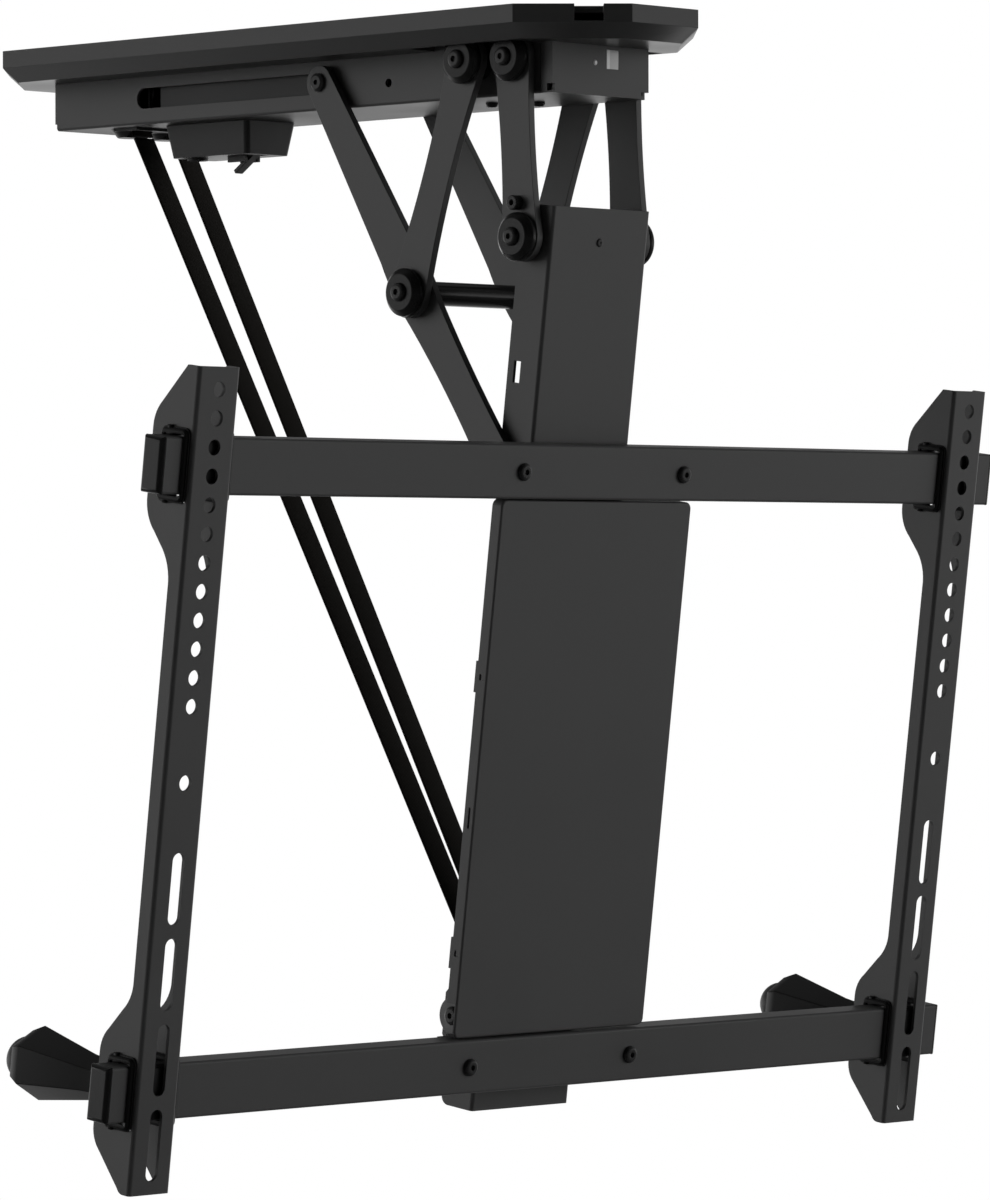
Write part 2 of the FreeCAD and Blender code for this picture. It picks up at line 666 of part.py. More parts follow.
def strap_drum():
    """Shaft with two spools, turned in one profile."""
    shaft = D.drum_shaft / 2
    core = D.drum_core / 2
    rim = D.drum_flange / 2
    cheek = D.drum_flange_sheet
    end = BEARING_INNER + 4.5
    half = [(0, shaft), (SPOOL_INNER, shaft), (SPOOL_INNER, rim), (SPOOL_INNER + cheek, rim),
            (SPOOL_INNER + cheek, core), (SPOOL_OUTER - cheek, core), (SPOOL_OUTER - cheek, rim),
            (SPOOL_OUTER, rim), (SPOOL_OUTER, shaft), (end, shaft), (end, 0)]
    other = [(-x if isinstance(x, Size) else x, y) for x, y in reversed(half[1:])]
    where = frame(0, DRUM_ALONG, -D.drum_depth)
    return keep(turned("strap_drum", other + half[1:], where), "strap_drum")


def strap_windings():
    start = D.strap_top_across - D.strap_width / 2
    where = frame(0, DRUM_ALONG, -D.drum_depth)
    core = D.drum_core / 2
    wound = D.drum_wound / 2
    body = turned("strap_winding", [(start, core), (start, wound), (start + D.strap_width, wound),
                                    (start + D.strap_width, core)], where)
    return both_sides("strap_windings", body)


def control_board():
    """Circuit board on four posts, with three tall parts."""
    body = new_body("control_board")
    floor = D.box_sheet - D.box_depth
    front = REAR_PIVOT + D.board_back
    half = D.board_width / 2
    length = D.board_length
    post_inset = D.board_width / 10
    posts = sketch_on(body, "XY_Plane", floor)
    for across in (post_inset - half, half - post_inset):
        for along in (front + post_inset, front + length - post_inset):
            circle(posts, across, along, post_inset)
    pad(body, posts, D.board_rise)
    board = sketch_on(body, "XY_Plane", floor + D.board_rise)
    rectangle(board, -half, front, half, front + length)
    pad(body, board, D.board_sheet)
    parts = sketch_on(body, "XY_Plane", floor + D.board_rise + D.board_sheet)
    for left, near, right, far in ((-0.67, 0.24, -0.13, 0.6), (0.13, 0.16, 0.67, 0.4), (0.07, 0.6, 0.73, 0.88)):
        rectangle(parts, half * left, front + length * near, half * right, front + length * far)
    pad(body, parts, D.board_part_height)
    return keep(body, "control_board")


def strap_guide():
    """Plate with two round lips under the box, one where each strap goes in."""
    body = new_body("strap_guide")
    top = -D.box_depth
    across = D.guide_width / 2
    near = GUIDE_ALONG - D.guide_plate_length / 2
    plate = sketch_on(body, "XY_Plane", top - D.guide_plate_sheet)
    rectangle(plate, -across, near, across, near + D.guide_plate_length)
    pad(body, plate, D.guide_plate_sheet)
    middle = GUIDE_ALONG + D.guide_lip_back
    for side in (-1, 1):
        upper = sketch_on(body, "XY_Plane", top)
        circle(upper, side * D.strap_top_across, middle, D.guide_lip_diameter)
        lower = sketch_on(body, "XY_Plane", top - D.guide_height)
        circle(lower, side * D.strap_top_across, middle, D.guide_lip_diameter - D.guide_lip_bevel * 2)
        loft(body, upper, lower)
    slots = sketch_on(body, "XY_Plane", top)
    gap = D.strap_sheet * 3
    half = D.strap_width / 2 + 1
    for side in (-1, 1):
        strap = side * D.strap_top_across
        rectangle(slots, strap - half, GUIDE_ALONG - gap, strap + half, GUIDE_ALONG + gap)
    pocket(body, slots)
    return keep(body, "strap_guide")


LEVER_AXIS_ALONG = SWITCH_FRONT + D.lever_axis_back
LEVER_AXIS_HEIGHT = D.lever_axis_rise - D.box_depth - D.switch_drop
LEVER_PIN = D.lever_pin_diameter


def rounded_box(sketch, half, start, end, corner):
    """A rectangle with rounded corners, centred across."""
    bulge = corner * 0.2929
    outline(sketch, [(-half, start + corner, bulge - half, start + bulge), (corner - half, start),
                     (half - corner, start, half - bulge, start + bulge), (half, start + corner),
                     (half, end - corner, half - bulge, end - bulge), (half - corner, end),
                     (corner - half, end, bulge - half, end - bulge), (-half, end - corner)])


def limit_switch_housing():
    body = new_body("limit_switch_housing")
    start = SWITCH_FRONT
    end = start + D.switch_length
    top = -D.box_depth
    low = top - D.switch_drop
    half = D.switch_width / 2
    taper = D.switch_taper
    upper = sketch_on(body, "XY_Plane", top)
    rounded_box(upper, half, start, end, D.switch_corner)
    lower = sketch_on(body, "XY_Plane", low)
    rounded_box(lower, half - taper, start + taper, end - taper, D.switch_corner)
    loft(body, upper, lower)
    guards = sketch_on(body, "XY_Plane", low - D.lever_guard_height)
    well_half = D.lever_width / 2 + D.lever_play
    guard_start = LEVER_AXIS_ALONG + D.lever_axis_rise * 2
    for left in (-well_half - 2, well_half):
        rectangle(guards, left, guard_start, left + 2, guard_start + D.lever_guard_length)
    pad(body, guards, D.lever_guard_height + 1)
    well = sketch_on(body, "XY_Plane", low - 1)
    rectangle(well, -well_half, LEVER_AXIS_ALONG - 4, well_half, LEVER_AXIS_ALONG + D.lever_length + 2)
    pocket(body, well, D.lever_axis_rise + 6, True)
    dome = sketch_on(body, "XY_Plane", low - 1.5)
    circle(dome, 3 - half / 2, end - taper - 12, 12)
    pad(body, dome, 2)
    pin = sketch_on(body, "YZ_Plane", -well_half - 0.5)
    circle(pin, LEVER_AXIS_ALONG, LEVER_AXIS_HEIGHT, LEVER_PIN)
    pad(body, pin, well_half * 2 + 1)
    return keep(body, "limit_switch_housing")


def limit_lever():
    """Sprung lever whose tip hangs below the housing."""
    where = frame(0, LEVER_AXIS_ALONG, LEVER_AXIS_HEIGHT, -D.lever_tilt)
    body = new_body("limit_lever", where)
    side = sketch_on(body, "YZ_Plane", -D.lever_width / 2)
    reach = D.lever_length
    thick = D.lever_sheet / 2
    knuckle = LEVER_PIN
    outline(side, [(0, knuckle, -knuckle, 0), (0, -knuckle), (knuckle * 2, -thick), (reach, -thick),
                   (reach, thick), (knuckle * 2, thick)])
    circle(side, 0, 0, LEVER_PIN + D.turning_play * 2)
    pad(body, side, D.lever_width)
    return keep(body, "limit_lever")


# Links of the folding linkage

def link_outline(sketch, length, start_radius, waist, end_radius):
    """A flat link along the sketch's X axis, drawn in between its two round ends."""
    start_radius, end_radius, waist = as_size(start_radius), as_size(end_radius), as_size(waist)
    outline(sketch, [(0, start_radius, -start_radius, 0), (0, -start_radius, length / 2, -waist),
                     (length, -end_radius, length + end_radius, 0), (length, end_radius, length / 2, waist)])


def front_links():
    low_along, low_height = panel_point(D.pivot_back, D.top_pivot_up)
    across = low_along - FRONT_PIVOT
    upward = low_height + D.pivot_depth
    length = root(across * across + upward * upward)
    where = frame(0, FRONT_PIVOT, -D.pivot_depth, heading(across, upward))
    body = new_body("front_link_right", where)
    sketch = sketch_on(body, "YZ_Plane", INNER_LINK)
    link_outline(sketch, length, D.link_end_radius, D.link_waist, D.link_end_radius)
    circle(sketch, 0, 0, LINK_BORE)
    circle(sketch, length, 0, LINK_BORE)
    pad(body, sketch, D.link_sheet)
    keep(body, "front_link_right")
    keep(mirrored(body, "front_link_left"), "front_link_left")
    radius = D.stop_pin_diameter / 2
    reach = length - D.stop_pin_rise
    pin_frame = where + " * " + frame(0, reach, 0)
    end = INNER_LINK_END + D.stop_pin_length
    socket = D.socket_diameter / 2
    pin = turned("stop_pin", [(INNER_LINK_END, 0), (INNER_LINK_END, radius), (end - 0.5, radius), (end, radius - 0.5),
                              (end, socket), (end - 2, socket), (end - 2, 0)], pin_frame)
    both_sides("stop_pins", pin)


def short_links():
    across = KNEE_ALONG - REAR_PIVOT
    upward = D.pivot_depth - D.knee_depth
    length = root(across * across + upward * upward)
    where = frame(0, REAR_PIVOT, -D.pivot_depth, heading(across, upward))
    body = new_body("short_link_right", where)
    sketch = sketch_on(body, "YZ_Plane", OUTER_LINK)
    link_outline(sketch, length, D.link_end_radius, D.short_link_waist, D.knee_radius)
    circle(sketch, 0, 0, LINK_BORE)
    circle(sketch, length, 0, LINK_BORE)
    pad(body, sketch, D.link_sheet)
    keep(body, "short_link_right")
    keep(mirrored(body, "short_link_left"), "short_link_left")


def long_arms():
    """Bent arm from the track pin over the knee to the column's lower pivot."""
    across = KNEE_ALONG - TRACK_PIN_ALONG
    upward = D.track_depth - D.knee_depth
    upper = root(across * across + upward * upward)
    upper_heading = heading(across, upward)
    foot_along, foot_height = panel_point(D.pivot_back, -D.low_pivot_down)
    foot_across = foot_along - KNEE_ALONG
    foot_upward = foot_height + D.knee_depth
    lower = root(foot_across * foot_across + foot_upward * foot_upward)
    bend = heading(foot_across, foot_upward) - upper_heading
    foot_x = upper + lower * cosine(bend)
    foot_y = lower * sine(bend)
    where = frame(0, TRACK_PIN_ALONG, -D.track_depth, upper_heading)
    body = new_body("long_arm_right", where)
    sketch = sketch_on(body, "YZ_Plane", INNER_LINK)
    start = D.track_end_radius
    knee = D.knee_radius
    foot = D.arm_foot_radius
    waist_x = upper + lower / 2 * cosine(bend)
    waist_y = lower / 2 * sine(bend)
    flare = 0.8
    outline(sketch, [(0, start, -start, 0), (0, -start), (upper * flare, -knee * 0.93, upper, -knee),
                     (upper + knee, -knee * 0.9, waist_x, waist_y - D.arm_waist),
                     (foot_x, foot_y - foot, foot_x + foot, foot_y),
                     (foot_x, foot_y + foot, waist_x, waist_y + D.arm_waist),
                     (upper + knee, knee * 0.9, upper, knee), (upper * flare, knee * 0.93)])
    circle(sketch, 0, 0, D.track_pin_diameter)
    circle(sketch, upper, 0, LINK_BORE - D.turning_play * 2)
    circle(sketch, foot_x, foot_y, D.axle_diameter)
    pad(body, sketch, D.link_sheet)
    keep(body, "long_arm_right")
    keep(mirrored(body, "long_arm_left"), "long_arm_left")
    return where, foot_x, foot_y


# Axles, caps and screws

def pivot_cap(name, start, where):
    radius = D.cap_diameter / 2
    end = start + D.cap_height
    bore = D.screw_diameter / 2
    return turned(name, [(start, bore), (start, radius - 0.8), (start + 0.8, radius), (end - D.cap_bevel, radius),
                         (end, radius - D.cap_bevel), (end, bore)], where)


def button_screw(name, start, shank_start, where, diameter=D.screw_diameter, head=D.head_diameter,
                 tall=D.head_height):
    """A button head from start outward, with a shank that reaches back to shank_start."""
    radius = head / 2
    socket = radius * 0.3
    return turned(name, [(shank_start, 0), (shank_start, diameter / 2), (start, diameter / 2), (start, radius),
                         (start + tall * 0.35, radius), (start + tall * 0.8, radius * 0.87),
                         (start + tall, radius * 0.62), (start + tall, socket),
                         (start + tall * 0.4, socket), (start + tall * 0.4, 0)], where)


def washer(name, start, where, outer=D.washer_diameter, bore=D.axle_diameter, thick=D.washer_sheet):
    return turned(name, [(start, bore / 2), (start, outer / 2 - 0.3), (start + 0.3, outer / 2),
                         (start + thick - 0.3, outer / 2), (start + thick, outer / 2 - 0.3),
                         (start + thick, bore / 2)], where)


def axle(name, reach, where):
    return turned(name, [(-reach, 0), (-reach, AXLE_RADIUS), (reach, AXLE_RADIUS), (reach, 0)], where)


def box_axles():
    """Fixed axles of the front and short links, with spacers, caps and screws."""
    front = frame(0, FRONT_PIVOT, -D.pivot_depth)
    rear = frame(0, REAR_PIVOT, -D.pivot_depth)
    inner_end = INNER_LINK_END + D.side_play
    outer_end = OUTER_LINK_END + D.side_play
    group("box_axles", [axle("front_axle", inner_end, front), axle("rear_axle", outer_end, rear)])
    spacer = OUTER_LINK - D.side_play - WALL
    washers = [washer("front_washer", WALL, front), washer("rear_spacer", WALL, rear, thick=spacer)]
    group("box_pivot_washers", with_mirrors(washers))
    caps = [pivot_cap("front_cap", inner_end, front), pivot_cap("rear_cap", outer_end, rear)]
    group("box_pivot_caps", with_mirrors(caps))
    screws = [button_screw("front_cap_screw", inner_end + D.cap_height, inner_end, front),
              button_screw("rear_cap_screw", outer_end + D.cap_height, outer_end, rear)]
    group("box_pivot_screws", with_mirrors(screws))


def box_screws():
    heads = []
    for number, (across, along) in enumerate(FLOOR_SCREWS, start=1):
        where = frame(across, along, -D.box_depth, 90, "0; 1; 0")
        heads.append(button_screw(f"floor_screw_{number}", ZERO, -D.box_sheet, where,
                                  D.floor_screw_diameter, D.floor_screw_head))
    return group("box_screws", heads)


def knee_joint():
    """Cross tube between the long arms, with the bolts that carry the short links."""
    where = frame(0, KNEE_ALONG, -D.knee_depth)
    radius = D.cross_tube_diameter / 2
    outer_end = OUTER_LINK_END + D.side_play
    tube = turned("cross_tube", [(-outer_end, 0), (-outer_end, AXLE_RADIUS), (-INNER_LINK, AXLE_RADIUS),
                                 (-INNER_LINK, radius), (INNER_LINK, radius), (INNER_LINK, AXLE_RADIUS),
                                 (outer_end, AXLE_RADIUS), (outer_end, 0)], where)
    keep(tube, "cross_tube")
    gap = D.layer_gap - D.side_play
    both_sides("knee_washers", washer("knee_washer", INNER_LINK_END, where, thick=gap))
    both_sides("knee_caps", pivot_cap("knee_cap", outer_end, where))
    both_sides("knee_screws", button_screw("knee_screw", outer_end + D.cap_height, outer_end, where))


def track_pins(arm_frame, foot_x, foot_y):
    radius = D.track_pin_diameter / 2
    inner = WALL - D.box_sheet - 0.5
    pin_frame = frame(0, TRACK_PIN_ALONG, -D.track_depth)
    head = D.head_diameter / 2
    end = INNER_LINK_END + D.head_height
    socket = D.socket_diameter / 2
    pin = turned("track_pin", [(inner - 2, 0), (inner - 2, head - 1), (inner, head - 1), (inner, radius),
                               (INNER_LINK_END, radius), (INNER_LINK_END, head), (end - 1, head),
                               (end, head * 0.7), (end, socket), (end - 1.5, socket), (end - 1.5, 0)], pin_frame)
    both_sides("track_pins", pin)
    low_frame = arm_frame + " * " + frame(0, foot_x, foot_y)
    clear = 0.3
    low_head = D.head_diameter * 0.7
    stud = turned("low_pivot_stud", [(WALL + clear, 0), (WALL + clear, AXLE_RADIUS + 2), (INNER_LINK, AXLE_RADIUS + 2),
                                     (INNER_LINK, AXLE_RADIUS), (INNER_LINK_END, AXLE_RADIUS),
                                     (INNER_LINK_END, low_head), (INNER_LINK_END + 2, low_head),
                                     (INNER_LINK_END + 3, low_head - 1), (INNER_LINK_END + 3, 0)], low_frame)
    both_sides("low_pivot_studs", stud)


# Column that carries the television rails

def column_channel():
    body = new_body("column_channel", PANEL)
    half = D.column_width / 2
    wall = D.column_sheet
    deepest = D.column_back + D.anchor_ear
    section = sketch_on(body, "XY_Plane", -D.column_bottom)
    outline(section, [(-half, D.column_front), (half, D.column_front), (half, deepest), (half - wall, deepest),
                      (half - wall, D.column_front + wall), (wall - half, D.column_front + wall),
                      (wall - half, deepest), (-half, deepest)])
    pad(body, section, D.column_top + D.column_bottom)
    sides = sketch_on(body, "YZ_Plane")
    back = D.column_back
    beyond = deepest + 1
    ear = D.anchor_washer / 2 + 1
    corner = 5
    top = D.column_top
    low = -D.column_bottom
    outline(sides, [(back - corner, top + 1), (back - corner, top), (back, top - corner),
                    (back, ear + 5 - D.anchor_down), (deepest, ear - D.anchor_down), (beyond, ear - D.anchor_down),
                    (beyond, top + 1)])
    outline(sides, [(deepest, -ear - D.anchor_down), (back, -ear - 5 - D.anchor_down),
                    (back, low + corner, back - 1.5, low + 1.5), (back - corner, low), (back - corner, low - 1),
                    (beyond, low - 1), (beyond, -ear - D.anchor_down)])
    circle(sides, D.pivot_back, D.top_pivot_up, D.axle_diameter)
    circle(sides, D.anchor_back, -D.anchor_down, D.axle_diameter)
    slot_low = D.top_pivot_up - D.column_slot_drop
    slot_back = back - D.column_slot_inset
    rectangle(sides, slot_back - D.column_slot_width, slot_low, slot_back, slot_low + D.column_slot_length)
    pocket(body, sides)
    front = sketch_on(body, "XZ_Plane", -D.column_front)
    circle(front, 0, D.top_pivot_up, D.lock_screw_diameter)
    pocket(body, front, wall)
    round_edges(body, D.column_bend, lambda edge: runs_along(edge, UP)
                and abs(abs(edge.CenterOfMass.x) - half.value) < 1e-4
                and abs(edge.CenterOfMass.y - D.column_front.value) < 1e-4)
    return keep(body, "column_channel")


def column_axles():
    """Top pivot axle with its caps, and the strap anchor axle near the column's foot."""
    top = panel_frame(0, D.pivot_back, D.top_pivot_up)
    end = INNER_LINK_END + D.side_play
    keep(axle("top_pivot_axle", end, top), "top_pivot_axle")
    both_sides("top_pivot_caps", pivot_cap("top_pivot_cap", end, top))
    low = panel_frame(0, D.anchor_back, -D.anchor_down)
    half = D.column_width / 2
    keep(axle("strap_anchor_axle", half, low), "strap_anchor_axle")
    washers = [washer("top_pivot_washer", WALL, top),
               washer("anchor_washer", half, low, outer=D.anchor_washer, bore=D.screw_diameter)]
    group("column_washers", with_mirrors(washers))
    screws = [button_screw("top_pivot_screw", end + D.cap_height, end, top),
              button_screw("anchor_screw", half + D.washer_sheet, half, low)]
    lock = panel_frame(0, D.column_front, D.top_pivot_up, -90, "0; 0; 1")
    reach = D.pivot_back - D.column_front - AXLE_RADIUS
    locking = button_screw("column_lock_screw", ZERO, -reach, lock, D.lock_screw_diameter, D.lock_screw_head,
                           D.lock_screw_height)
    group("column_screws", with_mirrors(screws) + [locking])
    near = D.strap_low_across - D.strap_width / 2
    far = D.strap_low_across + D.strap_width / 2
    outer = AXLE_RADIUS + D.strap_sheet
    loop = turned("strap_loop", [(near, AXLE_RADIUS), (near, outer), (far, outer), (far, AXLE_RADIUS)], low)
    both_sides("strap_loops", loop)


def rail(name, down):
    body = new_body(name, panel_frame(0, 0, -down))
    half = D.rail_height / 2
    front = D.rail_front
    back = front + D.rail_depth
    wall = D.rail_wall
    reach = D.rail_half_length - D.rail_cap_flange
    section = sketch_on(body, "YZ_Plane", -reach)
    corner = 1.6
    bulge = corner * 0.2929
    outline(section, [(front + corner, -half), (back - corner, -half, back - bulge, bulge - half),
                      (back, corner - half), (back, half - corner, back - bulge, half - bulge),
                      (back - corner, half), (front + corner, half, front + bulge, half - bulge),
                      (front, half - corner), (front, corner - half, front + bulge, bulge - half)])
    rectangle(section, front + wall, wall - half, back - wall, half - wall)
    pad(body, section, reach * 2)
    holes = sketch_on(body, "XZ_Plane", -back)
    for side in (-1, 1):
        circle(holes, side * D.rail_screw_across, 0, D.rail_screw_diameter)
    pocket(body, holes)
    return keep(body, name)


def rail_bracket(name, down):
    """Flat bar between the column's front and the rail."""
    body = new_body(name, panel_frame(0, 0, -down))
    back = D.column_front
    front = D.rail_front + D.rail_depth
    half = D.rail_height / 2 - 1
    sketch = sketch_on(body, "XZ_Plane", -back)
    across = D.bracket_half_width
    corner = 4
    outline(sketch, [(-across, corner - half), (corner - across, -half), (across - corner, -half),
                     (across, corner - half), (across, half - corner), (across - corner, half),
                     (corner - across, half), (-across, half - corner)])
    for side in (-1, 1):
        circle(sketch, side * D.rail_screw_across, 0, D.rail_screw_diameter)
    pad(body, sketch, back - front)
    return body


def rail_end_cap(name, down):
    body = new_body(name, panel_frame(0, 0, -down))
    half = D.rail_height / 2
    front = D.rail_front
    back = front + D.rail_depth
    start = D.rail_half_length - D.rail_cap_flange
    flange = sketch_on(body, "YZ_Plane", start)
    rectangle(flange, front, -half, back, half)
    pad(body, flange, D.rail_cap_flange)
    plug = sketch_on(body, "YZ_Plane", start - D.rail_plug)
    inset = D.rail_wall + D.plug_gap
    rectangle(plug, front + inset, inset - half, back - inset, half - inset)
    pad(body, plug, D.rail_plug)
    end = D.rail_half_length
    round_edges(body, D.rail_cap_round, lambda edge: abs(edge.CenterOfMass.x - end.value) < 1e-4)
    return body


def rail_hardware():
    caps = []
    screws = []
    shank_end = D.rail_front - D.column_front
    for name, down in (("upper", D.upper_rail_down), ("lower", D.lower_rail_down)):
        cap = rail_end_cap(name + "_rail_cap", down)
        caps += [cap, mirrored(cap, name + "_rail_cap")]
        where = panel_frame(D.rail_screw_across, D.rail_front, -down, -90, "0; 0; 1")
        screw = button_screw(name + "_rail_screw", ZERO, shank_end, where,
                             D.rail_screw_diameter, D.rail_screw_head)
        screws += [screw, mirrored(screw, name + "_rail_screw")]
    group("rail_end_caps", caps)
    group("rail_screws", screws)


COVER_TOP = D.upper_rail_down + D.rail_height / 2 + D.cover_gap
CLIPS_DOWN = (COVER_TOP + D.upper_clip_drop, D.anchor_down - D.lower_clip_rise)


def lower_cover():
    """Shallow tray between the rails, with spring tabs on its sides and posts to the column."""
    top = COVER_TOP
    bottom = D.lower_rail_down - D.rail_height / 2 - D.cover_gap
    body = new_body("lower_cover", PANEL)
    half = D.cover_half_width
    wall = D.cover_wall
    face = D.cover_face
    back = face + D.cover_skirt
    front = sketch_on(body, "XZ_Plane", -back)
    corner = 4.0
    bulge = corner * 0.2929
    outline(front, [(-half, -bottom + corner, -half + bulge, -bottom + bulge), (-half + corner, -bottom),
                    (half - corner, -bottom, half - bulge, -bottom + bulge), (half, -bottom + corner),
                    (half, -top - corner, half - bulge, -top - bulge), (half - corner, -top),
                    (corner - half, -top, bulge - half, -top - bulge), (-half, -top - corner)])
    pad(body, front, D.cover_skirt)
    clips = sketch_on(body, "XZ_Plane", -(back + D.clip_depth))
    for down in CLIPS_DOWN:
        for left in (-half, half - wall):
            rectangle(clips, left, -down - D.clip_length / 2, left + wall, -down + D.clip_length / 2)
    pad(body, clips, D.clip_depth + 2)
    hollow = sketch_on(body, "XZ_Plane", -back)
    rectangle(hollow, wall - half, -bottom + wall, half - wall, -top - wall)
    pocket(body, hollow, D.cover_skirt - wall, True)
    posts = sketch_on(body, "XZ_Plane", -D.column_front)
    for across in (-D.column_width * 0.36, D.column_width * 0.36):
        for down in (top + 30, bottom - 30):
            circle(posts, across, -down, D.cover_post)
    pad(body, posts, D.column_front - face - wall / 2)
    cut_cover_side(body, half - wall - 1, bottom)
    cut_cover_side(body, -half - 1, bottom)
    round_edges(body, D.cover_bend, lambda edge: abs(edge.BoundBox.YMax - face.value) < 1e-4)
    return keep(body, "lower_cover")


def cut_cover_side(body, start, bottom):
    """Cut the clip slots, the long slot and the opening beside the strap anchor in one side wall."""
    face = D.cover_face
    back = face + D.cover_skirt
    wall = D.cover_wall
    sketch = sketch_on(body, "YZ_Plane", start)
    for down in CLIPS_DOWN:
        rectangle(sketch, face + wall * 1.7, -down - D.clip_slot / 2,
                  back - wall * 1.3, -down + D.clip_slot / 2)
    slot_half = D.side_slot_length / 2
    slot_down = COVER_TOP + D.side_slot_drop
    rectangle(sketch, face + wall * 2, -slot_down - slot_half, back - wall * 2, -slot_down + slot_half)
    rectangle(sketch, face + wall, -bottom + wall, back + 1, D.anchor_cut_rise - D.anchor_down)
    pocket(body, sketch, wall + 2, True)


# Television rails, which slide along the horizontal rails

def tv_rail(side):
    name = f"{side}_tv_rail"
    across = D.tv_rail_spacing / 2 if side == "right" else -D.tv_rail_spacing / 2
    body = new_body(name, panel_frame(across))
    sheet_thick = D.tv_rail_sheet
    face = sketch_on(body, "XZ_Plane", -sheet_thick)
    rectangle(face, -D.tv_rail_outer, -D.tv_rail_bottom, D.tv_rail_inner, D.tv_rail_top)
    for number in range(12):
        circle(face, 0, -number * D.hole_pitch, D.hole_diameter)
    circle(face, 0, -D.lone_hole_down, D.hole_diameter)
    for number in range(4):
        slot(face, 0, -(D.first_slot_down + number * D.slot_pitch), D.slot_length, D.hole_diameter, True)
    pad(body, face, sheet_thick)
    for left in (-D.tv_rail_outer, D.tv_rail_inner - sheet_thick):
        tv_rail_flange(body, left)
    bends = (-D.tv_rail_outer.value, D.tv_rail_inner.value)
    round_edges(body, D.tv_rail_bend, lambda edge: runs_along(edge, UP) and abs(edge.CenterOfMass.y) < 1e-4
                and min(abs(edge.CenterOfMass.x - bend) for bend in bends) < 1e-4)
    keep(body, name)


def tv_rail_flange(body, left):
    """A flange behind the rail's face, wide and with a window where each horizontal rail goes through."""
    flange = sketch_on(body, "YZ_Plane", left)
    slim = D.flange_narrow
    swell = D.flange_wide - slim
    ear = D.ear_half_height
    low = -D.tv_rail_bottom

    def deep(share):
        return slim + swell * share

    def high(down, share):
        return ear * share - down

    upper = D.upper_rail_down
    slope = D.ear_slope_end + upper
    lower = D.lower_rail_down
    rise = D.lower_ear_slope_end - lower
    outline(flange, [(0, D.tv_rail_top), (slim * 0.88, D.tv_rail_top),
                     (deep(0.742), high(upper, 1.756), deep(0.934), high(upper, 1.411)), (deep(1), high(upper, 1)),
                     (deep(1), high(upper, -1), deep(0.915), high(upper, -1.556)), (deep(0.641), high(upper, -2.011)),
                     (deep(0.296), high(slope, 1.089), deep(0.061), high(slope, 0.578)), (slim, -slope),
                     (slim, rise, deep(0.085), rise - ear * 0.417), (deep(0.296), rise - ear * 0.778),
                     (deep(0.742), high(lower, 1.75), deep(0.934), high(lower, 1.417)), (deep(1), high(lower, 1)),
                     (deep(1), high(lower, -1.167), deep(0.944), high(lower, -1.5)), (deep(0.765), high(lower, -1.806)),
                     (slim * 0.93, low + ear * 0.15, slim * 0.745, low + ear * 0.04), (slim * 0.49, low), (0, low)])
    for down in (upper, lower):
        rectangle(flange, D.window_front, -down - D.window_half_height,
                  D.window_back, D.window_half_height - down)
    pad(body, flange, D.tv_rail_sheet)


def rail_glides(side, level, down):
    """Plastic sleeves in the two flanges' windows that slide on the horizontal rail."""
    across = D.tv_rail_spacing / 2 if side == "right" else -D.tv_rail_spacing / 2
    half = D.rail_height / 2 + D.glide_gap
    sleeves = []
    for number, left in enumerate((-D.tv_rail_outer, D.tv_rail_inner - D.tv_rail_sheet), start=1):
        body = new_body(f"{side}_{level}_glide_{number}", panel_frame(across, 0, -down))
        middle = left + D.tv_rail_sheet / 2
        section = sketch_on(body, "YZ_Plane", middle - D.glide_length / 2)
        rectangle(section, D.window_front, -D.window_half_height, D.window_back, D.window_half_height)
        rectangle(section, D.rail_front - D.glide_gap, -half, D.rail_front + D.rail_depth + D.glide_gap, half)
        pad(body, section, D.glide_length)
        sleeves.append(body)
    return sleeves


def bumper_foot(side):
    """Six-sided horn on a bent plate behind the lower rail, with a rubber dome."""
    across = D.tv_rail_spacing / 2 if side == "right" else -D.tv_rail_spacing / 2
    where = panel_frame(across, 0, -D.lower_rail_down)
    body = new_body(f"{side}_foot", where)
    leg = D.tv_rail_sheet - D.tv_rail_outer
    edge = D.tv_rail_inner - D.tv_rail_sheet
    start = D.window_back + D.glide_gap
    thick = D.foot_plate
    deep = D.flange_wide - D.foot_leg_inset
    section = sketch_on(body, "XY_Plane", -D.foot_plate_height / 2)
    web = start + thick
    outline(section, [(leg, start), (edge, start), (edge, deep), (edge - thick, deep), (edge - thick, web),
                      (leg + thick, web), (leg + thick, deep), (leg, deep)])
    pad(body, section, D.foot_plate_height)
    tip = D.foot_end + D.foot_bevel_length
    stations = [(web, D.foot_neck_radius), (D.foot_middle, D.foot_middle_radius),
                (D.foot_end, D.foot_wide_radius), (tip, D.foot_tip_radius)]
    for (near, slim), (far, broad) in zip(stations, stations[1:]):
        first = hexagon(body, near, slim)
        last = hexagon(body, far, broad)
        loft(body, first, last)
    keep(body, f"{side}_foot")
    radius = D.foot_pad_radius
    rise = D.foot_pad_height
    steps = ((1, 0), (0.951, 0.309), (0.809, 0.588), (0.588, 0.809), (0.309, 0.951), (0, 1))
    profile = [(tip, 0)] + [(tip + rise * tall, radius * broad) for broad, tall in steps]
    dome = turned(f"{side}_foot_pad", profile, where + " * " + frame(0, 0, 0, 90, "0; 0; 1"))
    keep(dome, f"{side}_foot_pad")


def hexagon(body, along, radius):
    """A six-sided section with a corner at its top and its bottom."""
    sketch = sketch_on(body, "XZ_Plane", -along)
    flat = HEXAGON_FLAT
    corners = [(0, 1), (-flat, 0.5), (-flat, -0.5), (0, -1), (flat, -0.5), (flat, 0.5)]
    outline(sketch, [(radius * x, radius * y) for x, y in corners])
    return sketch


# Lifting straps

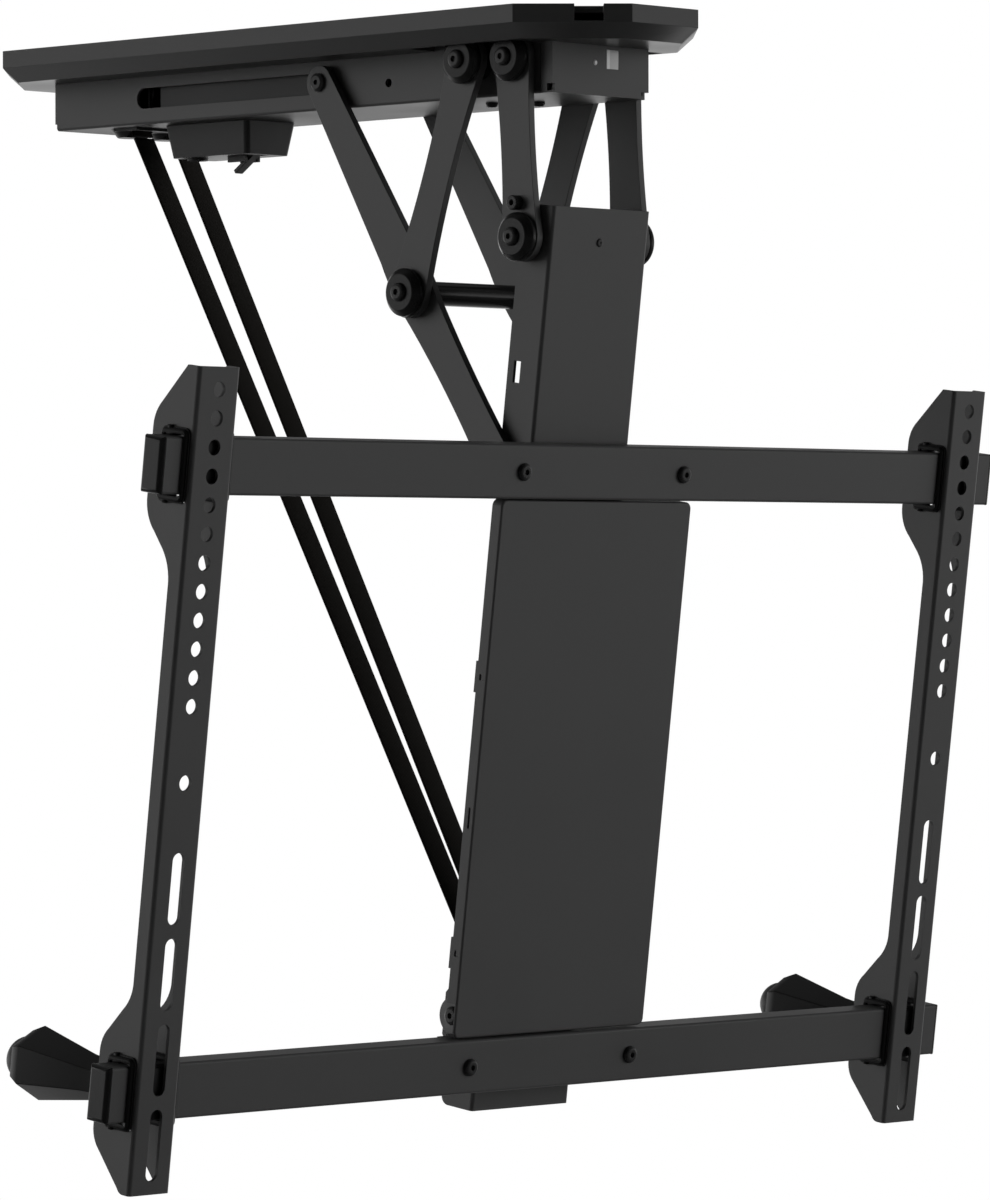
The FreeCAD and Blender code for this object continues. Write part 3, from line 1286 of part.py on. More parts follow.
def straps():
    """Two flat webbing straps from the guide under the box to the anchor axle."""
    anchor_along, anchor_height = panel_point(D.anchor_back, -D.anchor_down)
    guide_height = -(D.box_depth + D.guide_height)
    across = anchor_along - GUIDE_ALONG
    upward = anchor_height - guide_height
    length = root(across * across + upward * upward)
    lean = heading(-upward, across)
    offset = AXLE_RADIUS + D.strap_sheet * 1.5 + D.strap_gap
    share = offset / length
    swing = Size(math.degrees(math.asin(share.value)), f"(asin({share.text}) / 1 deg)")
    where = frame(0, GUIDE_ALONG, guide_height, lean + swing)
    reach = root(length * length - offset * offset)
    half = D.strap_sheet / 2
    body = new_body("strap_right", where)
    upper = sketch_on(body, "XY_Plane", D.strap_sheet / -2 - D.strap_gap)
    left = D.strap_top_across - D.strap_width / 2
    rectangle(upper, left, -half, left + D.strap_width, half)
    lower = sketch_on(body, "XY_Plane", -reach)
    low_left = D.strap_low_across - D.strap_width / 2
    rectangle(lower, low_left, -half, low_left + D.strap_width, half)
    loft(body, upper, lower)
    keep(body, "strap_right")
    keep(mirrored(body, "strap_left"), "strap_left")
    lead = new_body("strap_lead_right", where)
    bottom = sketch_on(lead, "XY_Plane", D.strap_gap)
    rectangle(bottom, left, -half, left + D.strap_width, half)
    pad(lead, bottom, 21)
    group("strap_leads", [lead, mirrored(lead, "strap_lead")])


# Build every piece

def build():
    ceiling_plate()
    cover_tray()
    drive_box()
    box_front_cap()
    front_fittings()
    box_rear_plate()
    track_guides()
    motor()
    motor_cradle()
    gearbox()
    drum_bearings()
    strap_drum()
    strap_windings()
    control_board()
    strap_guide()
    limit_switch_housing()
    limit_lever()
    front_links()
    short_links()
    arm_frame, foot_x, foot_y = long_arms()
    box_axles()
    box_screws()
    knee_joint()
    track_pins(arm_frame, foot_x, foot_y)
    column_channel()
    column_axles()
    rail("upper_rail", D.upper_rail_down)
    rail("lower_rail", D.lower_rail_down)
    group("rail_brackets", [rail_bracket("upper_bracket", D.upper_rail_down),
                            rail_bracket("lower_bracket", D.lower_rail_down)])
    rail_hardware()
    lower_cover()
    for side in ("left", "right"):
        tv_rail(side)
        group(f"{side}_glides", rail_glides(side, "upper", D.upper_rail_down)
              + rail_glides(side, "lower", D.lower_rail_down))
        bumper_foot(side)
    straps()


build()
document.recompute()

# Every feature must have worked, and every cut must have removed material

for item in document.Objects:
    if "Invalid" in item.State or "Error" in item.State:
        raise RuntimeError(f"{item.Label} failed: {item.State} {item.getStatusString()}")
for cut in cuts:
    if cut.Shape.Volume >= cut.BaseFeature.Shape.Volume - 1e-3:
        raise RuntimeError(f"{cut.Name} removed nothing")
for name, item in nodes:
    if item.Shape.isNull() or not item.Shape.isValid():
        raise RuntimeError(f"{name} has no valid shape")

os.makedirs("parts", exist_ok=True)
for name, item in nodes:
    item.Shape.exportStep(f"parts/{name}.step")
print(len(nodes), "nodes,", sum(len(item.Shape.Solids) for _, item in nodes), "solids")
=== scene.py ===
import json
import math

import bmesh
import bpy
from mathutils import Matrix, Vector


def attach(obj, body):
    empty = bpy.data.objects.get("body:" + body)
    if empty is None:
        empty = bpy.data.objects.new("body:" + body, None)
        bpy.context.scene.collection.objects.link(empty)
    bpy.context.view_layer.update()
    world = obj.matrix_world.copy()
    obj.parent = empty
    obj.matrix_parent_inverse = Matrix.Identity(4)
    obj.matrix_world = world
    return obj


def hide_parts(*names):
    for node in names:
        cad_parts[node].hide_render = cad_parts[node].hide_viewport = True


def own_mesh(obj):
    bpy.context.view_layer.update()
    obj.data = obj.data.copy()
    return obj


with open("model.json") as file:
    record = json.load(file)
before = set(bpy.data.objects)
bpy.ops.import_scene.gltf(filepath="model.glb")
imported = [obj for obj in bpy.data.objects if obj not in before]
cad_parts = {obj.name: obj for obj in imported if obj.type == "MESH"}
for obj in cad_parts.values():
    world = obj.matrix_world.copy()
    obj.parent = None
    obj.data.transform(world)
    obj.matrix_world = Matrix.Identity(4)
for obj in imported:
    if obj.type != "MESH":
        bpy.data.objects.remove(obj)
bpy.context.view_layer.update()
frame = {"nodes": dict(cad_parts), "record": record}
scene = bpy.context.scene
MM = 0.001
SIDES = (("left", -1), ("right", 1))


# Camera at the photograph's place, found from the object's own corners

PICTURE_HEIGHT = 1200
FOCAL_PIXELS = 6173.8
SENSOR = 36.0
CAMERA_AT = Vector((-2.47615, -2.54199, -0.31597))
HEADING, PITCH, ROLL = (math.radians(angle) for angle in (45.688, -0.13, -0.11))

camera_data = bpy.data.cameras.new("camera")
camera_data.sensor_fit = "VERTICAL"
camera_data.sensor_height = SENSOR
camera_data.lens = FOCAL_PIXELS / PICTURE_HEIGHT * SENSOR
camera_data.clip_end = 60
camera = bpy.data.objects.new("camera", camera_data)
scene.collection.objects.link(camera)
forward = Vector((math.sin(HEADING) * math.cos(PITCH), math.cos(HEADING) * math.cos(PITCH), math.sin(PITCH)))
rightward = forward.cross(Vector((0, 0, 1))).normalized()
upright = rightward.cross(forward)
facing_forward = Matrix((rightward, upright, -forward)).transposed().to_4x4()
camera.matrix_world = Matrix.Translation(CAMERA_AT) @ facing_forward @ Matrix.Rotation(ROLL, 4, "Z")
scene.camera = camera
scene.view_settings.view_transform = "Standard"
scene.view_settings.look = "None"


# Helpers that add nodes and return an output

def grey(value):
    return (value, value, value, 1)


def noise(nodes, links, vector, scale, detail=3.0, rough=0.5):
    node = nodes.new("ShaderNodeTexNoise")
    node.inputs["Scale"].default_value = scale
    node.inputs["Detail"].default_value = detail
    node.inputs["Roughness"].default_value = rough
    links.new(vector, node.inputs["Vector"])
    return node.outputs["Fac"]


def math_node(nodes, links, kind, first, second=0, clamp=False):
    node = nodes.new("ShaderNodeMath")
    node.operation = kind
    node.use_clamp = clamp
    for socket, value in zip(node.inputs, (first, second)):
        if isinstance(value, (int, float)):
            socket.default_value = value
        else:
            links.new(value, socket)
    return node.outputs[0]


def remap(nodes, links, value, low, high, from_low=0.0, from_high=1.0):
    node = nodes.new("ShaderNodeMapRange")
    node.inputs["From Min"].default_value = from_low
    node.inputs["From Max"].default_value = from_high
    node.inputs["To Min"].default_value = low
    node.inputs["To Max"].default_value = high
    links.new(value, node.inputs["Value"])
    return node.outputs["Result"]


def distance_along(nodes, links, place, direction):
    node = nodes.new("ShaderNodeVectorMath")
    node.operation = "DOT_PRODUCT"
    node.inputs[1].default_value = direction
    links.new(place, node.inputs[0])
    return node.outputs["Value"]


def between(nodes, links, factor, first, second, socket):
    """Feed a socket with a colour between two others."""
    node = nodes.new("ShaderNodeMix")
    node.data_type = "RGBA"
    node.inputs["A"].default_value = first
    node.inputs["B"].default_value = second
    links.new(factor, node.inputs["Factor"])
    links.new(node.outputs["Result"], socket)


def mix_shaders(nodes, links, factor, first, second):
    node = nodes.new("ShaderNodeMixShader")
    links.new(factor, node.inputs["Fac"])
    links.new(first, node.inputs[1])
    links.new(second, node.inputs[2])
    return node.outputs[0]


# Lights

def soft_light(name, source, power, spread):
    """A wide, even light from a direction, which shows in no reflection."""
    data = bpy.data.lights.new(name, "SUN")
    data.energy = power
    data.angle = math.radians(spread)
    lamp = bpy.data.objects.new(name, data)
    scene.collection.objects.link(lamp)
    lamp.rotation_euler = (-Vector(source)).to_track_quat("-Z", "Y").to_euler()
    lamp.visible_glossy = False


soft_light("left_light", (-0.72, 0.70, 0.22), 2.8, 44)
soft_light("right_light", (0.70, -0.74, 0.15), 2.5, 44)
soft_light("low_light", (0.1, 0.1, -1.0), 0.35, 60)


# The studio that surfaces reflect: white behind the object and near the horizon, dim elsewhere

WHITE, BLACK = grey(1), grey(0)
DIM_SIDE, DIM_BAND = 0.03, 0.08
SIDE_FROM, SIDE_TO = -0.42, 0.46
SIDE_DIP = -0.1
# Height from straight down at 0 to straight up at 1, and how bright the studio is there
BAND_ENDS = ((0.28, DIM_BAND), (0.68, DIM_BAND))
BAND_MARKS = ((0.40, 1.0), (0.50, 1.0), (0.545, 0.5))


def background(nodes, color=None):
    node = nodes.new("ShaderNodeBackground")
    node.inputs["Strength"].default_value = 1.0
    if color is not None:
        node.inputs["Color"].default_value = color
    return node


def build_world():
    world = bpy.data.worlds.new("world")
    scene.world = world
    world.use_nodes = True
    nodes, links = world.node_tree.nodes, world.node_tree.links
    nodes.clear()
    direction = nodes.new("ShaderNodeTexCoord").outputs["Generated"]

    side = nodes.new("ShaderNodeMapRange")
    side.interpolation_type = "SMOOTHSTEP"
    side.inputs["From Min"].default_value = SIDE_FROM
    side.inputs["From Max"].default_value = SIDE_TO
    links.new(distance_along(nodes, links, direction, (math.sin(HEADING), math.cos(HEADING), SIDE_DIP)),
              side.inputs["Value"])

    split = nodes.new("ShaderNodeSeparateXYZ")
    links.new(direction, split.inputs[0])
    band = nodes.new("ShaderNodeValToRGB")
    ramp = band.color_ramp
    ramp.interpolation = "EASE"
    for mark, (position, tone) in zip(ramp.elements, BAND_ENDS):
        mark.position = position
        mark.color = grey(tone)
    for position, tone in BAND_MARKS:
        ramp.elements.new(position).color = grey(tone)
    links.new(remap(nodes, links, split.outputs["Z"], 0.0, 1.0, -1.0, 1.0), band.inputs["Fac"])

    studio = nodes.new("ShaderNodeMix")
    studio.data_type = "RGBA"
    studio.blend_type = "MULTIPLY"
    studio.inputs["Factor"].default_value = 1.0
    between(nodes, links, side.outputs["Result"], grey(DIM_SIDE), WHITE, studio.inputs["A"])
    links.new(band.outputs["Color"], studio.inputs["B"])

    rays = nodes.new("ShaderNodeLightPath").outputs
    straight = math_node(nodes, links, "ADD", rays["Is Camera Ray"], rays["Is Transmission Ray"], clamp=True)
    mirrored = math_node(nodes, links, "MULTIPLY", rays["Is Glossy Ray"], studio.outputs["Result"])
    shown = math_node(nodes, links, "ADD", straight, mirrored, clamp=True)
    glow, plain_white = background(nodes), background(nodes, WHITE)
    links.new(studio.outputs["Result"], glow.inputs["Color"])
    links.new(mix_shaders(nodes, links, shown, glow.outputs[0], plain_white.outputs[0]),
              nodes.new("ShaderNodeOutputWorld").inputs["Surface"])


build_world()

FLOOR_HEIGHT = -2.4
FLOOR_HALF = 12
floor_mesh = bpy.data.meshes.new("floor")
floor_corners = ((-1, -1), (1, -1), (1, 1), (-1, 1))
floor_mesh.from_pydata([(x * FLOOR_HALF, y * FLOOR_HALF, FLOOR_HEIGHT) for x, y in floor_corners], [], [(0, 1, 2, 3)])
floor = bpy.data.objects.new("floor", floor_mesh)
scene.collection.objects.link(floor)


# Shared node groups

def new_group(name, inputs, outputs):
    group = bpy.data.node_groups.new(name, "ShaderNodeTree")
    for label, kind, value in inputs:
        socket = group.interface.new_socket(label, in_out="INPUT", socket_type=kind)
        socket.default_value = value
    for label, kind in outputs:
        group.interface.new_socket(label, in_out="OUTPUT", socket_type=kind)
    nodes = group.nodes
    return group, nodes, group.links, nodes.new("NodeGroupInput"), nodes.new("NodeGroupOutput")


def coated_skin():
    """Orange-peel relief, a slow drift of tone and fine speckle for coated or moulded skins."""
    group, nodes, links, given, made = new_group(
        "coated_skin", [("Grain", "NodeSocketFloat", 900.0)],
        [("Height", "NodeSocketFloat"), ("Tone", "NodeSocketFloat"), ("Roughness", "NodeSocketFloat")])
    place = nodes.new("ShaderNodeTexCoord")
    scaled = nodes.new("ShaderNodeVectorMath")
    scaled.operation = "SCALE"
    links.new(place.outputs["Object"], scaled.inputs[0])
    links.new(given.outputs["Grain"], scaled.inputs["Scale"])
    peel = noise(nodes, links, scaled.outputs[0], 1.0, 2.0, 0.5)
    speckle = noise(nodes, links, scaled.outputs[0], 3.1, 1.0, 0.6)
    drift = noise(nodes, links, place.outputs["Object"], 9.0, 3.0, 0.55)
    height = math_node(nodes, links, "ADD", peel, math_node(nodes, links, "MULTIPLY", speckle, 0.35))
    tone = math_node(nodes, links, "ADD", math_node(nodes, links, "MULTIPLY", drift, 0.7),
                     math_node(nodes, links, "MULTIPLY", speckle, 0.3))
    links.new(height, made.inputs["Height"])
    links.new(tone, made.inputs["Tone"])
    links.new(remap(nodes, links, drift, 0.0, 1.0, 0.3, 0.7), made.inputs["Roughness"])
    return group


RIB_PITCH, YARN_PITCH = 0.0011, 0.0012


def webbing_weave():
    """Ribs across the strap and finer yarns along it; the tone follows this relief, so the grooves are darker, which
    is painted shade, with random fuzz.
    """
    group, nodes, links, given, made = new_group(
        "webbing_weave", [], [("Height", "NodeSocketFloat"), ("Tone", "NodeSocketFloat")])
    place = nodes.new("ShaderNodeUVMap")
    split = nodes.new("ShaderNodeSeparateXYZ")
    links.new(place.outputs["UV"], split.inputs[0])
    along = math_node(nodes, links, "MULTIPLY", split.outputs["Y"], 2 * math.pi / RIB_PITCH)
    ribs = math_node(nodes, links, "SINE", along)
    shift = math_node(nodes, links, "MULTIPLY", math_node(nodes, links, "SIGN", ribs), 0.9)
    across = math_node(nodes, links, "MULTIPLY", split.outputs["X"], 2 * math.pi / YARN_PITCH)
    yarns = math_node(nodes, links, "SINE", math_node(nodes, links, "ADD", shift, across))
    woven = math_node(nodes, links, "MULTIPLY", math_node(nodes, links, "ABSOLUTE", ribs),
                      remap(nodes, links, yarns, 0.4, 1.0, -1.0, 1.0))
    fuzz = noise(nodes, links, place.outputs["UV"], 2600.0, 2.0, 0.6)
    height = math_node(nodes, links, "ADD", woven, math_node(nodes, links, "MULTIPLY", fuzz, 0.3))
    # Tone is the weave's relief: painted shade in the grooves, with random fuzz
    tone = math_node(nodes, links, "MULTIPLY", woven, math_node(nodes, links, "ADD", fuzz, 0.4))
    links.new(height, made.inputs["Height"])
    links.new(tone, made.inputs["Tone"])
    return group


def turned_steel():
    """Fine rings round the X axis, as a lathe leaves them."""
    group, nodes, links, given, made = new_group(
        "turned_steel", [], [("Height", "NodeSocketFloat"), ("Roughness", "NodeSocketFloat")])
    place = nodes.new("ShaderNodeTexCoord")
    stretch = nodes.new("ShaderNodeMapping")
    stretch.inputs["Scale"].default_value = (6000, 90, 90)
    links.new(place.outputs["Object"], stretch.inputs["Vector"])
    rings = noise(nodes, links, stretch.outputs[0], 1.0, 2.0, 0.6)
    links.new(rings, made.inputs["Height"])
    links.new(rings, made.inputs["Roughness"])
    return group


SKIN = coated_skin()
WEAVE = webbing_weave()
STEEL = turned_steel()


# Materials

def start_material(name, effect, **settings):
    """A new material with one shared effect; its group's outputs and its shader are given back."""
    material = bpy.data.materials.new(name)
    material.use_nodes = True
    nodes = material.node_tree.nodes
    group = nodes.new("ShaderNodeGroup")
    group.node_tree = effect
    for label, value in settings.items():
        group.inputs[label].default_value = value
    return material, nodes, material.node_tree.links, nodes["Principled BSDF"], group.outputs


def bump(nodes, links, shader, height, depth, strength):
    node = nodes.new("ShaderNodeBump")
    node.inputs["Distance"].default_value = depth
    node.inputs["Strength"].default_value = strength
    links.new(height, node.inputs["Height"])
    links.new(node.outputs["Normal"], shader.inputs["Normal"])


def skin_material(name, dark, light, smooth, rough, grain, depth, strength=0.5, coat=0.0, specular=0.5):
    """A coated or moulded surface between two tones and two roughnesses."""
    material, nodes, links, shader, effect = start_material(name, SKIN, Grain=grain)
    between(nodes, links, effect["Tone"], grey(dark), grey(light), shader.inputs["Base Color"])
    links.new(remap(nodes, links, effect["Roughness"], smooth, rough), shader.inputs["Roughness"])
    bump(nodes, links, shader, effect["Height"], depth, strength)
    shader.inputs["Coat Weight"].default_value = coat
    shader.inputs["Coat Roughness"].default_value = 0.3
    shader.inputs["Specular IOR Level"].default_value = specular
    return material


def steel_material(name, tone, smooth, rough):
    material, nodes, links, shader, effect = start_material(name, STEEL)
    links.new(remap(nodes, links, effect["Roughness"], smooth, rough, 0.3, 0.7), shader.inputs["Roughness"])
    between(nodes, links, effect["Roughness"], grey(tone * 0.8), grey(tone), shader.inputs["Base Color"])
    bump(nodes, links, shader, effect["Height"], 0.00001, 0.4)
    shader.inputs["Metallic"].default_value = 1.0
    return material


# The darker yarn colour is painted shade in the weave's grooves
YARN_GROOVE_SHADE, YARN_LIGHT = (0.0020, 0.0017, 0.0013, 1), (0.0105, 0.0090, 0.0070, 1)


def webbing_material():
    material, nodes, links, shader, effect = start_material("webbing", WEAVE)
    between(nodes, links, effect["Tone"], YARN_GROOVE_SHADE, YARN_LIGHT, shader.inputs["Base Color"])
    bump(nodes, links, shader, effect["Height"], 0.00025, 0.8)
    shader.inputs["Roughness"].default_value = 0.85
    shader.inputs["Sheen Weight"].default_value = 0.04
    shader.inputs["Specular IOR Level"].default_value = 0.15
    return material


WINDOW_SPLIT = (0.0068, 0.0076)


def window_material():
    """Silvered window that is lighter in its left quarter."""
    material, nodes, links, shader, effect = start_material("silver_window", SKIN, Grain=700)
    split = nodes.new("ShaderNodeSeparateXYZ")
    links.new(nodes.new("ShaderNodeTexCoord").outputs["Object"], split.inputs[0])
    left = remap(nodes, links, split.outputs["X"], 1.0, 0.0, *WINDOW_SPLIT)
    tone = math_node(nodes, links, "ADD", math_node(nodes, links, "MULTIPLY", effect["Tone"], 0.4),
                     math_node(nodes, links, "MULTIPLY", left, 0.6))
    between(nodes, links, tone, grey(0.30), grey(0.62), shader.inputs["Base Color"])
    links.new(remap(nodes, links, effect["Roughness"], 0.12, 0.22), shader.inputs["Roughness"])
    shader.inputs["Metallic"].default_value = 0.2
    shader.inputs["Coat Weight"].default_value = 0.6
    return material


# Metres behind the object where the floor starts and ends to brighten in reflections
FLOOR_BRIGHTENS = (1.0, 7.0)
FLOOR_DIM = 0.04
FLOOR_SHARE = 0.96


def floor_material():
    """Floor that keeps the shadow, is white to the camera, bright in reflections far behind, and clear from below."""
    material = skin_material("floor_paint", 0.74, 0.80, 0.6, 0.7, 40, 0.0002, 0.3)
    nodes, links = material.node_tree.nodes, material.node_tree.links
    rays = nodes.new("ShaderNodeLightPath").outputs
    place = nodes.new("ShaderNodeTexCoord").outputs["Object"]
    behind = distance_along(nodes, links, place, (math.sin(HEADING), math.cos(HEADING), 0))
    bright = remap(nodes, links, behind, FLOOR_DIM, 1.0, *FLOOR_BRIGHTENS)
    straight = math_node(nodes, links, "ADD", rays["Is Camera Ray"], rays["Is Transmission Ray"])
    seen = nodes.new("ShaderNodeEmission")
    between(nodes, links, math_node(nodes, links, "MAXIMUM", straight, bright), BLACK, WHITE, seen.inputs["Color"])
    share = math_node(nodes, links, "MULTIPLY",
                      math_node(nodes, links, "ADD", straight, rays["Is Glossy Ray"]), FLOOR_SHARE)
    from_above = mix_shaders(nodes, links, share, nodes["Principled BSDF"].outputs[0], seen.outputs[0])
    clear = nodes.new("ShaderNodeBsdfTransparent")
    backfacing = nodes.new("ShaderNodeNewGeometry").outputs["Backfacing"]
    links.new(mix_shaders(nodes, links, backfacing, from_above, clear.outputs[0]),
              nodes["Material Output"].inputs["Surface"])
    return material


webbing = webbing_material()
rubber = skin_material("black_rubber", 0.010, 0.017, 0.40, 0.52, 1500, 0.00003, 0.6)
glide_plastic = skin_material("glide_plastic", 0.003, 0.006, 0.3, 0.42, 2200, 0.00002, specular=0.3)
foot_plastic = skin_material("foot_plastic", 0.004, 0.008, 0.30, 0.40, 1600, 0.00002, 0.4, specular=0.35)
floor.data.materials.append(floor_material())

CAD_MATERIALS = {
    "powder_coat": skin_material("powder_coat", 0.034, 0.046, 0.36, 0.46, 1100, 0.00002, specular=0.4),
    "tray_coat": skin_material("tray_coat", 0.030, 0.040, 0.28, 0.38, 1200, 0.00002, specular=0.4),
    "black_plastic": skin_material("black_plastic", 0.014, 0.021, 0.34, 0.46, 2200, 0.00002, specular=0.4),
    "cap_plastic": skin_material("cap_plastic", 0.005, 0.008, 0.22, 0.32, 1800, 0.00001, 0.4),
    "black_rubber": rubber,
    "webbing": webbing,
    "black_screw": skin_material("black_screw", 0.010, 0.018, 0.24, 0.36, 2400, 0.00001, 0.4),
    "bright_steel": steel_material("bright_steel", 0.55, 0.2, 0.38),
    "silver_window": window_material(),
    "lamp": skin_material("lamp", 0.45, 0.62, 0.12, 0.2, 400, 0.000005, 0.2, coat=0.5),
    "board": skin_material("board", 0.02, 0.05, 0.3, 0.45, 600, 0.00002),
}
NODE_MATERIALS = {
    "left_foot": foot_plastic,
    "right_foot": foot_plastic,
    "track_guides": skin_material("guide_paint", 0.014, 0.021, 0.36, 0.46, 1100, 0.00002, specular=0.4),
    "cross_tube": skin_material("gloss_tube", 0.003, 0.006, 0.16, 0.24, 1500, 0.00001, 0.3),
    "rail_end_caps": skin_material("end_plastic", 0.003, 0.006, 0.2, 0.3, 1800, 0.00001, 0.4),
    "column_washers": steel_material("washer_steel", 0.16, 0.2, 0.38),
}
slot_of = {part["node"]: part["material_slot"] for part in frame["record"]["subparts"]}
for node, thing in frame["nodes"].items():
    material = NODE_MATERIALS.get(node, CAD_MATERIALS[slot_of[node]])
    for item in thing.material_slots:
        item.material = material


# Soft edges on the rigid nodes, in millimetres

SOFT_EDGES = {"cover_tray": 1.6, "lower_cover": 0.5, "column_channel": 0.5, "box_pivot_caps": 0.5, "knee_caps": 0.5,
              "top_pivot_caps": 0.5, "left_foot": 0.7, "right_foot": 0.7, "limit_switch_housing": 0.5,
              "strap_guide": 0.5}
PLAIN_EDGE = 0.3
DRAWN_BELOW = ("left_glides", "right_glides", "left_foot_pad", "right_foot_pad", "strap_left", "strap_right",
               "strap_leads", "strap_loops", "strap_windings")
NO_EDGE = DRAWN_BELOW + ("box_screws", "status_lamp")


def soften(thing, width):
    weld = thing.modifiers.new("weld", "WELD")
    weld.merge_threshold = 0.00001
    flat = thing.modifiers.new("flat_faces", "DECIMATE")
    flat.decimate_type = "DISSOLVE"
    flat.angle_limit = math.radians(0.5)
    edge = thing.modifiers.new("soft_edge", "BEVEL")
    edge.width = width * MM
    edge.segments = 2
    edge.limit_method = "ANGLE"
    edge.angle_limit = math.radians(32)
    shade = thing.modifiers.new("shading", "WEIGHTED_NORMAL")
    shade.weight = 80
    shade.keep_sharp = False


for node, thing in frame["nodes"].items():
    if node not in NO_EDGE:
        soften(thing, SOFT_EDGES.get(node, PLAIN_EDGE))


# Places on the leaning panel that carries the television rails

PANEL_TILT = math.radians(7.4)
PANEL_AT = Vector((0, -219.5, -214.6)) * MM
TV_RAIL_ACROSS = 300.0
UPPER_RAIL, LOWER_RAIL = -40.4, -369.0


def panel_point(x, back, up):
    """A point measured from the first hole row of the television rails, in millimetres."""
    turned = Matrix.Rotation(PANEL_TILT, 4, "X") @ Vector((x, back, up))
    return turned * MM + PANEL_AT


def new_piece(name, mesh, material, body, replaced=()):
    mesh.materials.append(material)
    thing = bpy.data.objects.new(name, mesh)
    scene.collection.objects.link(thing)
    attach(thing, body)
    for node in replaced:
        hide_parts(node)
    return thing


def skin_loops(mesh_edit, loops, closed=False):
    """Faces between loops of points that all have the same count; open rows get end faces."""
    rows = [[mesh_edit.verts.new(point) for point in loop] for loop in loops]
    count = len(rows[0])
    pairs = list(zip(rows, rows[1:])) + ([(rows[-1], rows[0])] if closed else [])
    for first, second in pairs:
        for step in range(count):
            following = (step + 1) % count
            mesh_edit.faces.new((first[step], first[following], second[following], second[step]))
    if not closed:
        mesh_edit.faces.new(list(reversed(rows[0])))
        mesh_edit.faces.new(rows[-1])


def finish_mesh(mesh_edit, name, sharp=40):
    bmesh.ops.recalc_face_normals(mesh_edit, faces=mesh_edit.faces)
    for face in mesh_edit.faces:
        face.smooth = True
    for edge in mesh_edit.edges:
        edge.smooth = edge.calc_face_angle(0) < math.radians(sharp)
    mesh = bpy.data.meshes.new(name)
    mesh_edit.to_mesh(mesh)
    mesh_edit.free()
    return mesh


# Glides: collars in the rails' windows, with a dark sheet between them in front of the horizontal rail, which is
# painted shade on the rail's front face

WINDOW_FRONT, WINDOW_BACK, WINDOW_HALF, WINDOW_ROUND, WINDOW_GAP = 3.0, 22.5, 19.0, 3.0, 0.05
RAIL_FRONT, RAIL_BACK, RAIL_HALF = 5.0, 20.0, 15.0
SLIDE_GAP = 0.3
BORE_RISE, BORE_ROUND, BORE_INSET = 1.1, 1.2, 0.3
# Start, end, outer face of the sheet, and which way is outward
COLLARS = ((-18.0, -10.0, -15.0, -1), (9.0, 17.0, 14.0, 1))
# Distance from a collar's end or from the sheet, and how far the skin stands out there
RIM = ((0, -1.1), (0.35, -0.4), (1.1, 0.0))
LIP = ((1.25, 0.0), (1.15, 0.75), (0.15, 0.75), (0.05, 0.0))
TAB_OUT, TAB_BACK, TAB_RISE, TAB_SOFT = (0.1, 2.4), (15.2, 18.4), (1.2, 5.4), 0.5
RUNNER_INSET, RUNNER_BACK, RUNNER_RISE, RUNNER_SOFT = 0.8, (13.5, 19.5), (0.1, 1.5), 0.3
# A dark sheet between the collars, in front of the horizontal rail's front face: painted shade, seen through the rail
# holes
SHADE_SHEET_LOW, SHADE_SHEET_HIGH, SHADE_SHEET_SOFT = (-10.6, 3.1, -13.6), (9.6, RAIL_FRONT - SLIDE_GAP, 13.6), 0.5


def rounded_loop(front, back, low, high, radius, steps=5):
    """Points round a rectangle with rounded corners, as back and up positions."""
    points = []
    corners = ((back - radius, high - radius, 0), (front + radius, high - radius, 90),
               (front + radius, low + radius, 180), (back - radius, low + radius, 270))
    for along, up, start in corners:
        for step in range(steps + 1):
            angle = math.radians(start + 90 * step / steps)
            points.append((along + radius * math.cos(angle), up + radius * math.sin(angle)))
    return points


def crossing(middle, level):
    """What places across, back and up positions where a television rail crosses a horizontal rail."""
    def to_place(across, back, up):
        return panel_point(middle + across, back, level + up)
    return to_place


def collar(mesh_edit, start, end, sheet_face, outward, to_place):
    """A sleeve whose lip lies on the outside of the sheet, with soft rims."""
    stations = [(start + step, grow) for step, grow in RIM] + [(end - step, grow) for step, grow in RIM]
    stations += [(sheet_face + outward * step, grow) for step, grow in LIP]
    rings = []
    for across, grow in sorted(stations):
        rings.append((across, rounded_loop(
            WINDOW_FRONT + WINDOW_GAP - grow, WINDOW_BACK - WINDOW_GAP + grow,
            -WINDOW_HALF + WINDOW_GAP - grow, WINDOW_HALF - WINDOW_GAP + grow, WINDOW_ROUND + grow)))
    bore = rounded_loop(RAIL_FRONT - SLIDE_GAP, RAIL_BACK + SLIDE_GAP,
                        -RAIL_HALF - BORE_RISE, RAIL_HALF + BORE_RISE, BORE_ROUND)
    rings += [(end - BORE_INSET, bore), (start + BORE_INSET, bore)]
    skin_loops(mesh_edit, [[to_place(across, back, up) for back, up in outline] for across, outline in rings],
               closed=True)


def soft_block(mesh_edit, low, high, soft, to_place):
    """A block with bevelled edges between two corners given as across, back and up."""
    loops = []
    for across, grow in ((low[0], -soft), (low[0] + soft, 0), (high[0] - soft, 0), (high[0], -soft)):
        outline = rounded_loop(low[1] - grow, high[1] + grow, low[2] - grow, high[2] + grow, soft * 0.9, 3)
        loops.append([to_place(across, back, up) for back, up in outline])
    skin_loops(mesh_edit, loops)


def blocks_above_and_below(mesh_edit, across, back, rise, soft, to_place):
    """Two equal blocks, over and under the horizontal rail."""
    for low, high in ((RAIL_HALF + rise[0], RAIL_HALF + rise[1]), (-RAIL_HALF - rise[1], -RAIL_HALF - rise[0])):
        soft_block(mesh_edit, (across[0], back[0], low), (across[1], back[1], high), soft, to_place)


